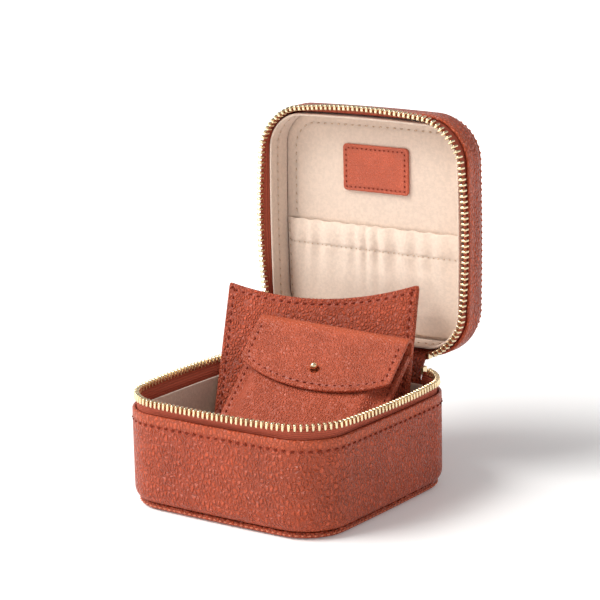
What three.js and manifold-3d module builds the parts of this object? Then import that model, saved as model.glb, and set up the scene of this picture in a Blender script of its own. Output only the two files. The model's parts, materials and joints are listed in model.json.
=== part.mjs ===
// A square zip-around leather jewellery case, standing open.
// The base is a leather box with a zip rim, the lid swings up on a leather hinge at the back
// and carries a gathered pocket and a stitched label, and a scooped divider and a flap pouch
// with a ball stud lean inside the base.
// Units are millimetres, +Z is up, +X runs along the front and +Y points to the hinge.
// The origin is the middle of the underside.
import * as THREE from "three";
import { mergeVertices } from "three/addons/utils/BufferGeometryUtils.js";
import Module from "manifold-3d";

const wasm = await Module();
wasm.setup();

// Case outline
const CASE_HALF = 45; // half the width and depth, measured near a corner
const CORNER_RADIUS = 16.5;
const SIDE_BOW = 0.9; // swell of each side at its middle
const CASE_HEIGHT = 60; // closed
const RIM_HEIGHT = 41.5; // where the two rows of teeth meet
const GAP = 0.3; // clearance between neighbouring pieces

// Sheet thicknesses
const LEATHER = 1.3;
const TAPE = 0.7;
const LINING = 0.9;
const BOARD = 1.0;
const END_PANEL = 2.1; // padded bottom and lid panels

// Walls, measured from the rim plane down into the base or up into the lid
const WALL_EDGE = 5.7; // turned leather edge beside the zip
const TAPE_DEPTH = 9; // how far the tape is sewn in
const TUCK_LENGTH = 4.2; // stretch over which the wall curls in to the end panel
const TUCK_INSET = 2.3;
const BASE_LINING_EDGE = 6.5;
const LID_LINING_EDGE = 3.2;

// Zip
const RIM_INSET = 2.35; // middle of the teeth, inside the case outline
const RIM_BOW = 3.8; // the zip bulges further than the wall
const TEETH_HEIGHT = 2.7;
const TEETH_WIDTH = 2.4;
const RIM_BAND = 2; // straight stretch of tape beside the rim plane
const STOP_LENGTH = 1.5;

// Hinge
const HINGE_LEFT = -25;
const HINGE_RIGHT = 29.5;
const HINGE_THICKNESS = 0.7;
const HINGE_Y = CASE_HALF + 2;
const HINGE_Z = RIM_HEIGHT + 0.55;
const LID_ANGLE = 90; // how far the lid stands open

// Zip slider and its pull
const SLIDER_LENGTH = 7.4;
const SLIDER_WIDTH = 4.4;
const SLIDER_HEIGHT = 6.6;
const BAIL_REACH = 2.3; // from the slider's face to the middle of the bail's bar
const BAIL_BAR = 0.7;
const BAIL_HEIGHT = 0.9;
const BAIL_LENGTH = 5.4;
const LINK_RADIUS = 1.7;
const LINK_WIRE = 0.45;
const LINK_DROP = 0.6; // the ring hangs this far below the bar
const PULL_LENGTH = 17;
const PULL_WIDTH = 6;
const PULL_THICKNESS = 0.9;
const PULL_HOLE = 1.0;
const PULL_EYE_DROP = 2.75; // middle of the pull's hole below the bar

// Lid pocket and label
const POCKET_TOP = 0; // distance of the pocket's mouth from the lid's middle line
const POCKET_THICKNESS = 1.1;
const POCKET_HOLLOW = 1.9; // room between the pocket and the lining
const POCKET_SEAM = 3; // sewn edge of the pocket
const POCKET_INSET = 4.4;
const ELASTIC_WIDTH = 6;
const ELASTIC_THICKNESS = 0.7;
const LABEL_THICKNESS = 1.2;
const LABEL_WIDTH = 29.6;
const LABEL_HEIGHT = 18;
const LABEL_RADIUS = 1.6;
const LABEL_Y = -21.8;

// Divider
const DIVIDER_WIDTH = 75;
const DIVIDER_HEIGHT = 66;
const DIVIDER_SCOOP = 6.2;
const DIVIDER_BACK = 0.7;
const DIVIDER_BOARD = 0.7;
const DIVIDER_FRONT = 0.8;
const DIVIDER_SEAM = 2.6;
const DIVIDER_PLACE = { x: 1.4, y: CASE_HALF - 37.6, z: 13, yaw: 17.2, lean: 29.7, roll: 2 };

// Pouch
const POUCH_WIDTH = 60.5;
const POUCH_HEIGHT = 68;
const POUCH_HOLLOW = 3.9;
const POUCH_CORNER = 6;
const POUCH_LEATHER = 1.2;
const POUCH_PLACE = { x: 10.1, y: CASE_HALF - 69.4, z: 11, yaw: 15, lean: 51.3, roll: -6.7 };
const FLAP_SIDE = 19;
const FLAP_MIDDLE = 29;
const FLAP_CORNER = 3;
const FLAP_GAP = 0.5; // between the pouch's front and the flap
const STUD_DROP = 17.6; // from the fold
const STUD_POST_RADIUS = 0.85;
const STUD_BALL_RADIUS = 1.3;
const STUD_BASE_RADIUS = 2.4;
const STUD_HOLE_RADIUS = 1.9;
const STUD_HOLE_SHIFT = 0.25; // the hole sits a little towards the flap's tip

const leatherFinish = (color) => new THREE.MeshStandardMaterial({ color, roughness: 0.6 });
const suedeFinish = (color) => new THREE.MeshStandardMaterial({ color, roughness: 0.95 });
const brassFinish = () => new THREE.MeshStandardMaterial({ color: 0xd9b25f, roughness: 0.3, metalness: 1 });
const TERRACOTTA = 0xb9583f;
const TERRACOTTA_DARK = 0x8c4334;
const BEIGE = 0xe4cbb2;
const CREAM = 0xeed9c4;
const BOARD_GREY = 0x8d8378;

// ---- solids ----

function toSolid(geometry) {
  const bare = geometry.clone();
  bare.deleteAttribute("normal");
  bare.deleteAttribute("uv");
  const merged = mergeVertices(bare, 1e-4);
  return new wasm.Manifold(
    new wasm.Mesh({
      numProp: 3,
      vertProperties: merged.attributes.position.array,
      triVerts: new Uint32Array(merged.index.array),
    }),
  );
}

function toGeometry(solid) {
  const mesh = solid.getMesh();
  const geometry = new THREE.BufferGeometry();
  geometry.setAttribute("position", new THREE.BufferAttribute(mesh.vertProperties, 3));
  geometry.setIndex(new THREE.BufferAttribute(mesh.triVerts, 1));
  geometry.computeVertexNormals();
  return geometry;
}

const subtract = (a, b) => toGeometry(toSolid(a).subtract(toSolid(b)));
const intersect = (a, b) => toGeometry(toSolid(a).intersect(toSolid(b)));
const add = (a, b) => toGeometry(toSolid(a).add(toSolid(b)));

// A flat shape drawn out along +Z.
function extrude(shape, depth, curveSegments) {
  return new THREE.ExtrudeGeometry(shape, { depth, bevelEnabled: false, curveSegments });
}

function box(low, high) {
  const size = high.map((value, axis) => value - low[axis]);
  const centre = high.map((value, axis) => (value + low[axis]) / 2);
  return new THREE.BoxGeometry(...size).translate(...centre);
}

function piece(name, geometry, material) {
  const mesh = new THREE.Mesh(geometry, material);
  mesh.name = name;
  return mesh;
}

// ---- the case outline ----

// Points and outward normals of the rounded square, anticlockwise from the middle of the front.
function outlineStations() {
  const straight = CASE_HALF - CORNER_RADIUS;
  const sideSteps = [-1, -0.55, 0, 0.55];
  const cornerSteps = 8;
  const stations = [];
  for (let side = 0; side < 4; side += 1) {
    const turn = (side * Math.PI) / 2;
    const addStation = (x, y, nx, ny) => {
      const c = Math.cos(turn);
      const s = Math.sin(turn);
      stations.push({ x: x * c - y * s, y: x * s + y * c, nx: nx * c - ny * s, ny: nx * s + ny * c });
    };
    sideSteps.forEach((share) => addStation(share * straight, -CASE_HALF, 0, -1));
    for (let step = 0; step < cornerSteps; step += 1) {
      const angle = -Math.PI / 2 + (step / cornerSteps) * (Math.PI / 2);
      const nx = Math.cos(angle);
      const ny = Math.sin(angle);
      addStation(straight + CORNER_RADIUS * nx, -straight + CORNER_RADIUS * ny, nx, ny);
    }
  }
  return stations;
}
const STATIONS = outlineStations();

// A station moved out by an offset, with its side swollen: the swell fades to nothing at the corners.
function outlinePoint(station, offset, bow) {
  const x = station.x + station.nx * offset;
  const y = station.y + station.ny * offset;
  const half = CASE_HALF + offset;
  const u = x / half;
  const v = y / half;
  return [x + bow * (1 - v * v) * u ** 3, y + bow * (1 - u * u) * v ** 3];
}

// A closed ring: a profile of [offset, depth, bow] carried round the outline.
// The profile runs anticlockwise with the offset to the right and the depth up.
// Depth counts from the rim plane, up into the lid (side 1) or down into the base (side -1).
function ring(profile, side) {
  const ordered = side > 0 ? profile : [...profile].reverse();
  const closed = [...ordered, ordered[0]];
  const lathe = new THREE.LatheGeometry(
    closed.map(([offset, depth]) => new THREE.Vector2(CASE_HALF + offset, depth)),
    STATIONS.length,
  );
  const position = lathe.getAttribute("position");
  for (let index = 0; index < position.count; index += 1) {
    const station = STATIONS[Math.floor(index / closed.length) % STATIONS.length];
    const [offset, depth, bow = SIDE_BOW] = closed[index % closed.length];
    const [x, y] = outlinePoint(station, offset, bow);
    position.setXYZ(index, x, y, RIM_HEIGHT + side * depth);
  }
  lathe.computeVertexNormals();
  return lathe;
}

// A flat sheet with the case's outline, between two heights, with an optional rounded edge.
function sheet(offset, low, high, edge = 0) {
  const points = STATIONS.map((s) => new THREE.Vector2(...outlinePoint(s, offset - edge, SIDE_BOW)));
  const solid = new THREE.ExtrudeGeometry(new THREE.Shape(points), {
    depth: high - low - 2 * edge,
    steps: 1,
    bevelEnabled: edge > 0,
    bevelThickness: edge,
    bevelSize: edge,
    bevelSegments: 2,
  });
  return solid.translate(0, 0, low + edge);
}

// ---- parts shared by the base and the lid ----

function wallProfile(endDepth) {
  const tuck = endDepth - TUCK_LENGTH;
  const outer = new THREE.QuadraticBezierCurve(
    new THREE.Vector2(0, tuck),
    new THREE.Vector2(0, endDepth - 0.6),
    new THREE.Vector2(-TUCK_INSET, endDepth),
  );
  return [
    [-0.35, WALL_EDGE],
    [0, WALL_EDGE + 0.5],
    ...outer.getPoints(3).map((p) => [p.x, p.y]),
    [-TUCK_INSET - 1.1, endDepth],
    [-LEATHER - 1.4, endDepth - LEATHER],
    [-LEATHER, tuck - 0.3],
    [-LEATHER, WALL_EDGE + 0.4],
    [-0.95, WALL_EDGE],
  ];
}

// The middle of the zip tape at a depth: straight down inside the wall, bulging out at the rim.
function tapeLine(depth) {
  const inWall = -LEATHER - GAP - TAPE / 2;
  const share = THREE.MathUtils.smoothstep(WALL_EDGE - 0.2 - depth, 0, WALL_EDGE - 0.2 - RIM_BAND);
  return {
    offset: THREE.MathUtils.lerp(inWall, -RIM_INSET, share),
    bow: THREE.MathUtils.lerp(SIDE_BOW, RIM_BOW, share),
  };
}

function tapeProfile(thickness, firstDepth) {
  const depths = [firstDepth, RIM_BAND + 1, WALL_EDGE - 1.4, WALL_EDGE - 0.2, TAPE_DEPTH];
  const strip = (side) =>
    depths.map((depth) => {
      const line = tapeLine(depth);
      return [line.offset + (side * thickness) / 2, depth, line.bow];
    });
  return [...strip(1), ...strip(-1).reverse()];
}

function teethProfile() {
  const low = GAP / 2;
  const high = low + TEETH_HEIGHT;
  const outer = -RIM_INSET + TEETH_WIDTH / 2;
  const inner = -RIM_INSET - TEETH_WIDTH / 2;
  return [
    [outer, low, RIM_BOW],
    [outer, high, RIM_BOW],
    [inner, high, RIM_BOW],
    [inner, low, RIM_BOW],
  ];
}

// The stretch at the back where the zip stops short for the hinge and the slider.
function backZone(left, right) {
  return box([left, 0, 0], [right, CASE_HALF + 2 * RIM_BOW, CASE_HEIGHT + RIM_HEIGHT]);
}
const ZIP_LEFT = HINGE_LEFT - SLIDER_LENGTH - 2 * GAP;
const ZIP_RIGHT = HINGE_RIGHT + GAP;
const TEETH_RIGHT = ZIP_RIGHT + STOP_LENGTH + GAP;

function zipTape(side) {
  const tape = ring(tapeProfile(TAPE, GAP / 2 + TEETH_HEIGHT + GAP), side);
  return subtract(tape, backZone(ZIP_LEFT, ZIP_RIGHT));
}

function zipTeeth(side) {
  return subtract(ring(teethProfile(), side), backZone(ZIP_LEFT, TEETH_RIGHT));
}

// The metal clip that ends the teeth beside the hinge.
function endStop(side) {
  return intersect(ring(teethProfile(), side), backZone(ZIP_RIGHT, ZIP_RIGHT + STOP_LENGTH));
}

function hingeLeaf(side) {
  return intersect(ring(tapeProfile(HINGE_THICKNESS, GAP), side), backZone(HINGE_LEFT, HINGE_RIGHT));
}

function liningRing(edge, end, side) {
  const outer = -LEATHER - TAPE - 3 * GAP - 0.1;
  const inner = outer - LINING;
  return ring([[outer, edge], [outer, end], [inner, end], [inner, edge]], side);
}

// ---- base ----

const BASE_END = RIM_HEIGHT - END_PANEL - GAP; // depth at which the base wall meets the bottom panel
const BOARD_LOW = END_PANEL + GAP;
const FLOOR_LOW = BOARD_LOW + BOARD + GAP;
const FLOOR = FLOOR_LOW + LINING;

function wallBoard() {
  const outer = -LEATHER - GAP;
  const start = TAPE_DEPTH + GAP;
  const end = BASE_END - TUCK_LENGTH - 0.6;
  return ring(
    [[outer, start], [outer, end], [outer - BOARD, end], [outer - BOARD, start]],
    -1,
  );
}

function makeBase() {
  const base = new THREE.Group();
  base.add(
    piece("bottom_panel", sheet(-2.5, 0, END_PANEL, 0.5), leatherFinish(TERRACOTTA)),
    piece("base_board", sheet(-TUCK_INSET - 1.4, BOARD_LOW, BOARD_LOW + BOARD), leatherFinish(BOARD_GREY)),
    piece("floor_lining", sheet(-3.3, FLOOR_LOW, FLOOR), suedeFinish(BEIGE)),
    piece("base_wall", ring(wallProfile(BASE_END), -1), leatherFinish(TERRACOTTA)),
    piece("base_wall_board", wallBoard(), leatherFinish(BOARD_GREY)),
    piece("base_lining", liningRing(BASE_LINING_EDGE, RIM_HEIGHT - FLOOR - GAP, -1), suedeFinish(BEIGE)),
    piece("base_zip_tape", zipTape(-1), leatherFinish(TERRACOTTA_DARK)),
    piece("base_zip_teeth", zipTeeth(-1), brassFinish()),
    piece("base_end_stop", endStop(-1), brassFinish()),
    piece("hinge_base_leaf", hingeLeaf(-1), leatherFinish(TERRACOTTA)),
  );
  return base;
}

// ---- zip slider and pull ----

const SLIDER_X = HINGE_LEFT - GAP - SLIDER_LENGTH / 2;
const SLIDER_Y = CASE_HALF - RIM_INSET + RIM_BOW * (1 - (SLIDER_X / CASE_HALF) ** 2);
const PIVOT_Y = SLIDER_Y + SLIDER_WIDTH / 2 + BAIL_REACH;

// A shield-shaped body, wider at the mouth where the two rows of teeth part.
function sliderBody() {
  const length = SLIDER_LENGTH / 2;
  const mouth = SLIDER_HEIGHT / 2;
  const tail = mouth - 0.9;
  const plan = new THREE.Shape();
  plan.moveTo(-length, -mouth);
  plan.quadraticCurveTo(0, -mouth, length, -tail);
  plan.lineTo(length, tail);
  plan.quadraticCurveTo(0, mouth, -length, mouth);
  plan.closePath();
  const body = extrude(plan, SLIDER_WIDTH, 5);
  return body.translate(0, 0, -SLIDER_WIDTH / 2).rotateX(Math.PI / 2);
}

// A low bridge along the slider's outer face, whose bar the ring hangs from.
function sliderBail() {
  const half = BAIL_LENGTH / 2;
  const foot = SLIDER_WIDTH / 2 - 0.5;
  const top = SLIDER_WIDTH / 2 + BAIL_REACH + BAIL_BAR / 2;
  const arch = new THREE.Shape();
  arch.moveTo(-half, foot);
  arch.lineTo(half, foot);
  arch.lineTo(half, top - 1);
  arch.quadraticCurveTo(half, top, half - 1, top);
  arch.lineTo(1 - half, top);
  arch.quadraticCurveTo(-half, top, -half, top - 1);
  arch.closePath();
  const eye = new THREE.Path();
  const low = SLIDER_WIDTH / 2;
  const high = top - BAIL_BAR;
  eye.moveTo(0.9 - half, low);
  eye.lineTo(0.9 - half, high);
  eye.lineTo(half - 0.9, high);
  eye.lineTo(half - 0.9, low);
  eye.closePath();
  arch.holes.push(eye);
  const bail = extrude(arch, BAIL_HEIGHT, 3);
  return bail.translate(0, 0, -BAIL_HEIGHT / 2);
}

function pullTab() {
  const half = PULL_WIDTH / 2;
  const neck = PULL_HOLE + 0.7;
  const tab = new THREE.Shape();
  tab.absarc(0, 0, neck, 0, Math.PI, false);
  tab.lineTo(-half, -4);
  tab.lineTo(-half, 1.5 - PULL_LENGTH);
  tab.quadraticCurveTo(-half, -PULL_LENGTH, 1.5 - half, -PULL_LENGTH);
  tab.lineTo(half - 1.5, -PULL_LENGTH);
  tab.quadraticCurveTo(half, -PULL_LENGTH, half, 1.5 - PULL_LENGTH);
  tab.lineTo(half, -4);
  tab.closePath();
  const eye = new THREE.Path();
  eye.absarc(0, 0, PULL_HOLE, 0, 2 * Math.PI, true);
  tab.holes.push(eye);
  const flat = extrude(tab, PULL_THICKNESS, 6);
  return flat.translate(0, 0, -PULL_THICKNESS / 2).rotateX(Math.PI / 2);
}

function makeSlider() {
  const slider = new THREE.Group();
  slider.position.set(SLIDER_X, SLIDER_Y, RIM_HEIGHT);
  const body = piece("zip_slider", add(sliderBody(), sliderBail()), brassFinish());
  const link = new THREE.TorusGeometry(LINK_RADIUS, LINK_WIRE, 6, 18).rotateY(Math.PI / 2);
  const ringMesh = piece("pull_ring", link, brassFinish());
  ringMesh.position.set(0, PIVOT_Y - SLIDER_Y, -LINK_DROP);
  const tab = piece("pull_tab", pullTab(), leatherFinish(TERRACOTTA));
  tab.position.set(0, PIVOT_Y - SLIDER_Y, -PULL_EYE_DROP);
  slider.add(body, ringMesh, tab);
  return slider;
}

// ---- lid, built shut and then swung open ----

const LID_PANEL_LOW = CASE_HEIGHT - END_PANEL;
const LID_BOARD_THICKNESS = 0.7;
const LID_BOARD_LOW = LID_PANEL_LOW - GAP - LID_BOARD_THICKNESS;
const LID_LINING_LOW = LID_BOARD_LOW - GAP - LINING;
const LID_END = LID_PANEL_LOW - GAP - RIM_HEIGHT;

// The case outline as a flat shape, or only the part of it behind a line.
function outlineShape(offset, keepBehind) {
  const points = STATIONS.map((s) => outlinePoint(s, offset, SIDE_BOW));
  const kept = points.filter(([, y]) => y > keepBehind);
  const edge = CASE_HALF + offset + SIDE_BOW * (1 - (keepBehind / CASE_HALF) ** 2);
  const firstBehind = kept.findIndex(([x, y]) => x > 0 && y > keepBehind);
  const ordered = [...kept.slice(firstBehind), ...kept.slice(0, firstBehind)];
  const corners = [[-edge, keepBehind], [edge, keepBehind]];
  return new THREE.Shape([...corners, ...ordered].map(([x, y]) => new THREE.Vector2(x, y)));
}

function slab(shape, low, high) {
  const flat = extrude(shape, high - low, 5);
  return flat.translate(0, 0, low);
}

// The pocket is sewn down round its edge and open at its mouth, over a shallow hollow.
function lidPocket() {
  const high = LID_LINING_LOW - GAP;
  const low = high - POCKET_HOLLOW - POCKET_THICKNESS;
  const sewn = slab(outlineShape(-POCKET_INSET, POCKET_TOP), low, high);
  const hollow = slab(
    outlineShape(-POCKET_INSET - POCKET_SEAM, POCKET_TOP - 1),
    low + POCKET_THICKNESS,
    high + 1,
  );
  return subtract(sewn, hollow);
}

function pocketElastic() {
  const high = LID_LINING_LOW - GAP - 0.6;
  const half = CASE_HALF - POCKET_INSET - POCKET_SEAM - 0.6;
  const top = POCKET_TOP + 0.6;
  return box([-half, top, high - ELASTIC_THICKNESS], [half, top + ELASTIC_WIDTH, high]);
}

function roundedRectangle(width, height, radius) {
  const x = width / 2 - radius;
  const y = height / 2 - radius;
  const shape = new THREE.Shape();
  shape.absarc(x, -y, radius, -Math.PI / 2, 0, false);
  shape.absarc(x, y, radius, 0, Math.PI / 2, false);
  shape.absarc(-x, y, radius, Math.PI / 2, Math.PI, false);
  shape.absarc(-x, -y, radius, Math.PI, 1.5 * Math.PI, false);
  shape.closePath();
  return shape;
}

function lidLabel() {
  const high = LID_LINING_LOW - GAP;
  const shape = roundedRectangle(LABEL_WIDTH, LABEL_HEIGHT, LABEL_RADIUS);
  return slab(shape, high - LABEL_THICKNESS, high).translate(0, LABEL_Y, 0);
}

function makeLid() {
  const shut = new THREE.Group();
  shut.position.set(0, -HINGE_Y, -HINGE_Z);
  const boardHigh = LID_BOARD_LOW + LID_BOARD_THICKNESS;
  const liningHigh = LID_LINING_LOW + LINING;
  const wallDepth = LID_LINING_LOW - GAP - RIM_HEIGHT;
  shut.add(
    piece("lid_panel", sheet(-2.5, LID_PANEL_LOW, CASE_HEIGHT, 0.5), leatherFinish(TERRACOTTA)),
    piece("lid_board", sheet(-TUCK_INSET - 1.4, LID_BOARD_LOW, boardHigh), leatherFinish(BOARD_GREY)),
    piece("lid_lining_panel", sheet(-3.4, LID_LINING_LOW, liningHigh), suedeFinish(BEIGE)),
    piece("lid_wall", ring(wallProfile(LID_END), 1), leatherFinish(TERRACOTTA)),
    piece("lid_lining_wall", liningRing(LID_LINING_EDGE, wallDepth, 1), suedeFinish(BEIGE)),
    piece("lid_pocket", lidPocket(), suedeFinish(CREAM)),
    piece("pocket_elastic", pocketElastic(), suedeFinish(CREAM)),
    piece("lid_label", lidLabel(), leatherFinish(TERRACOTTA)),
    piece("lid_zip_tape", zipTape(1), leatherFinish(TERRACOTTA_DARK)),
    piece("lid_zip_teeth", zipTeeth(1), brassFinish()),
    piece("lid_end_stop", endStop(1), brassFinish()),
    piece("hinge_lid_leaf", hingeLeaf(1), leatherFinish(TERRACOTTA)),
  );
  const lid = new THREE.Group();
  lid.position.set(0, HINGE_Y, HINGE_Z);
  lid.rotation.x = THREE.MathUtils.degToRad(-LID_ANGLE);
  lid.add(shut);
  return lid;
}

// ---- loose pieces, built flat: +X across, +Y up the piece and +Z out of its front ----

// Stands a flat piece up at a point: turned about the vertical, leaning back, and rolled in its own plane.
function stand(group, place) {
  const axis = (x, y, z) => new THREE.Vector3(x, y, z);
  const turn = (about, degrees) =>
    new THREE.Quaternion().setFromAxisAngle(about, THREE.MathUtils.degToRad(degrees));
  group.position.set(place.x, place.y, place.z);
  group.quaternion
    .copy(turn(axis(0, 0, 1), place.yaw))
    .multiply(turn(axis(1, 0, 0), 90 - place.lean))
    .multiply(turn(axis(0, 0, 1), place.roll));
  return group;
}

// The divider's outline has a scooped top edge: a flat arc between its two top corners.
function dividerShape(inset) {
  const half = DIVIDER_WIDTH / 2 - inset;
  const top = DIVIDER_HEIGHT - inset;
  const shape = new THREE.Shape();
  shape.moveTo(-half, inset + 2);
  shape.quadraticCurveTo(-half, inset, 2 - half, inset);
  shape.lineTo(half - 2, inset);
  shape.quadraticCurveTo(half, inset, half, inset + 2);
  shape.lineTo(half, top);
  shape.quadraticCurveTo(0, top - 2 * DIVIDER_SCOOP, -half, top);
  shape.closePath();
  return shape;
}

function makeDivider() {
  const boardLow = DIVIDER_BACK + GAP;
  const recess = boardLow + DIVIDER_BOARD + GAP;
  const depth = recess + DIVIDER_FRONT;
  const curved = (shape, low, high) =>
    extrude(shape, high - low, 14).translate(0, 0, low - depth);
  const front = subtract(
    curved(dividerShape(0), boardLow, depth),
    curved(dividerShape(DIVIDER_SEAM), boardLow - 1, recess),
  );
  const board = curved(dividerShape(DIVIDER_SEAM + GAP), boardLow, recess - GAP);
  const divider = new THREE.Group();
  divider.add(
    piece("divider_front", front, leatherFinish(TERRACOTTA_DARK)),
    piece("divider_board", board, leatherFinish(BOARD_GREY)),
    piece("divider_back", curved(dividerShape(0), 0, DIVIDER_BACK), leatherFinish(TERRACOTTA_DARK)),
  );
  return stand(divider, DIVIDER_PLACE);
}

const POUCH_FRONT_LOW = LEATHER + GAP;
const POUCH_FRONT_HIGH = LEATHER + POUCH_HOLLOW + POUCH_LEATHER;
const FLAP_LOW = POUCH_FRONT_HIGH + FLAP_GAP;
const FOLD_RADIUS = (FLAP_LOW + LEATHER) / 2;
const FOLD_LINE = POUCH_HEIGHT - FOLD_RADIUS;

function pouchShape(inset, top) {
  const half = POUCH_WIDTH / 2 - inset;
  const corner = POUCH_CORNER - inset;
  const shape = new THREE.Shape();
  shape.moveTo(half, top);
  shape.lineTo(-half, top);
  shape.absarc(corner - half, POUCH_CORNER, corner, Math.PI, 1.5 * Math.PI, false);
  shape.absarc(half - corner, POUCH_CORNER, corner, -Math.PI / 2, 0, false);
  shape.closePath();
  return shape;
}

// The front is sewn to the back along three sides and stands off it, open at the top.
function pouchFront() {
  const body = slab(pouchShape(0, FOLD_LINE - 1.5), POUCH_FRONT_LOW, POUCH_FRONT_HIGH);
  const hollow = slab(pouchShape(POUCH_LEATHER, POUCH_HEIGHT), 0, POUCH_FRONT_HIGH - POUCH_LEATHER);
  const boreRadius = STUD_POST_RADIUS + GAP;
  const bore = new THREE.CylinderGeometry(boreRadius, boreRadius, 3 * POUCH_LEATHER, 16);
  bore.rotateX(Math.PI / 2).translate(0, FOLD_LINE - STUD_DROP, POUCH_FRONT_HIGH);
  return subtract(subtract(body, hollow), bore);
}

// A half-round fold carries the flap over the pouch's top.
function pouchFold() {
  const section = new THREE.Shape();
  section.absarc(0, FOLD_RADIUS, FOLD_RADIUS, -Math.PI / 2, Math.PI / 2, false);
  section.absarc(0, FOLD_RADIUS, FOLD_RADIUS - LEATHER, Math.PI / 2, -Math.PI / 2, true);
  section.closePath();
  const strip = extrude(section, POUCH_WIDTH, 12);
  const turned = new THREE.Matrix4().makeBasis(
    new THREE.Vector3(0, 1, 0),
    new THREE.Vector3(0, 0, 1),
    new THREE.Vector3(1, 0, 0),
  );
  return strip.applyMatrix4(turned).translate(-POUCH_WIDTH / 2, FOLD_LINE, 0);
}

// The flap hangs from the fold's front end down over the pouch, with a bowed lower edge.
function pouchFlap() {
  const half = POUCH_WIDTH / 2;
  const flap = new THREE.Shape();
  flap.moveTo(half, -GAP);
  flap.lineTo(-half, -GAP);
  flap.lineTo(-half, FLAP_CORNER - FLAP_SIDE);
  flap.quadraticCurveTo(-half, -FLAP_SIDE, FLAP_CORNER - half, -FLAP_SIDE - 0.9);
  flap.bezierCurveTo(-half / 2, -FLAP_MIDDLE, half / 2, -FLAP_MIDDLE, half - FLAP_CORNER, -FLAP_SIDE - 0.9);
  flap.quadraticCurveTo(half, -FLAP_SIDE, half, FLAP_CORNER - FLAP_SIDE);
  flap.closePath();
  const hole = new THREE.Path();
  hole.absarc(0, -STUD_DROP - STUD_HOLE_SHIFT, STUD_HOLE_RADIUS, 0, 2 * Math.PI, true);
  flap.holes.push(hole);
  return slab(flap, FLAP_LOW, FLAP_LOW + LEATHER).translate(0, FOLD_LINE, 0);
}

// A turned brass stud: a flat foot inside the pouch, a post through its front and a ball on top.
function ballStud() {
  const foot = POUCH_FRONT_HIGH - POUCH_LEATHER - GAP;
  const ball = 2 * FOLD_RADIUS + STUD_BALL_RADIUS + 0.1;
  const steps = 10;
  const startAngle = -Math.acos(STUD_POST_RADIUS / STUD_BALL_RADIUS);
  const profile = [
    [0, foot - 0.6],
    [STUD_BASE_RADIUS, foot - 0.6],
    [STUD_BASE_RADIUS, foot],
    [STUD_POST_RADIUS, foot],
  ];
  for (let step = 0; step < steps; step += 1) {
    const angle = THREE.MathUtils.lerp(startAngle, Math.PI / 2, step / steps);
    profile.push([STUD_BALL_RADIUS * Math.cos(angle), ball + STUD_BALL_RADIUS * Math.sin(angle)]);
  }
  profile.push([0, ball + STUD_BALL_RADIUS]);
  const stud = new THREE.LatheGeometry(profile.map(([r, h]) => new THREE.Vector2(r, h)), 20);
  return stud.rotateX(Math.PI / 2).translate(0, FOLD_LINE - STUD_DROP, 0);
}

function makePouch() {
  const pouch = new THREE.Group();
  pouch.add(
    piece("pouch_back", slab(pouchShape(0, FOLD_LINE - GAP), 0, LEATHER), leatherFinish(TERRACOTTA)),
    piece("pouch_front", pouchFront(), leatherFinish(TERRACOTTA)),
    piece("pouch_fold", pouchFold(), leatherFinish(TERRACOTTA)),
    piece("pouch_flap", pouchFlap(), leatherFinish(TERRACOTTA)),
    piece("ball_stud", ballStud(), brassFinish()),
  );
  return stand(pouch, POUCH_PLACE);
}

// ---- the whole case ----

const jewelleryCase = new THREE.Group();
jewelleryCase.name = "jewellery_case";
jewelleryCase.add(makeBase(), makeSlider(), makeLid(), makeDivider(), makePouch());

export default jewelleryCase;
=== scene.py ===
"""Looks of a square zip-around leather jewellery case, built around its fixed CAD frame.

Every length is in metres and every angle in radians, in the frame of the CAD model.
"""

import json
import math

import bpy
import numpy as np
from bpy.props import FloatProperty, FloatVectorProperty, IntProperty, PointerProperty
from bpy.types import Operator, Panel, PropertyGroup
from mathutils import Matrix, Vector


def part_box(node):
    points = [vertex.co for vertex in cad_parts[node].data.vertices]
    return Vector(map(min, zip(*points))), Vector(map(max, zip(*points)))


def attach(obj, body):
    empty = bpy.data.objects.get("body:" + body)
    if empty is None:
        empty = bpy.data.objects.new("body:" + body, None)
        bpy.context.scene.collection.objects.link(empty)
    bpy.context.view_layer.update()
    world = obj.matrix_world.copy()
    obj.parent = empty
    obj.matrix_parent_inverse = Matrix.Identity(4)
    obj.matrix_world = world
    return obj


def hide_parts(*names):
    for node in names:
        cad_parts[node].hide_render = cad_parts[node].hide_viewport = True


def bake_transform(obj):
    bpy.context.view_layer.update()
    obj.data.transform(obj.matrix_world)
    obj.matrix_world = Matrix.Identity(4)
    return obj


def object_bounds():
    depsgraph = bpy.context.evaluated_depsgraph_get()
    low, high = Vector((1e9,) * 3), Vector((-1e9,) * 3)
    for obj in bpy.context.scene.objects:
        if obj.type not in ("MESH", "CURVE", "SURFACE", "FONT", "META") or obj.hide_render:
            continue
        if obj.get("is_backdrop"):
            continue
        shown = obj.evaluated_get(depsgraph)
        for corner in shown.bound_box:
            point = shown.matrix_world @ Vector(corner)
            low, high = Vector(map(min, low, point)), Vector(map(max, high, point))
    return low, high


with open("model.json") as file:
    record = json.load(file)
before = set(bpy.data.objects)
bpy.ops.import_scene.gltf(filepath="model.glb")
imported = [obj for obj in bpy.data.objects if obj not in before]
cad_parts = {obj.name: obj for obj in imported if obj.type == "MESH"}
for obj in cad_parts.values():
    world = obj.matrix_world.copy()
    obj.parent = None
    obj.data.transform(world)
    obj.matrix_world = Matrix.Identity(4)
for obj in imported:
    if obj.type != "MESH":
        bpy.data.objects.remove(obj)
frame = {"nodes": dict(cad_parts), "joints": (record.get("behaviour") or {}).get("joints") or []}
BOUNDS_AT_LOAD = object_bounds()

bl_info = {
    "name": "Leather Jewellery Case",
    "version": (1, 0, 0),
    "blender": (4, 5, 0),
    "location": "View3D > Sidebar > Jewellery Case",
    "description": "Builds a zip-around leather jewellery case with its divider and flap pouch",
    "category": "Object",
}

MM = 0.001

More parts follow.
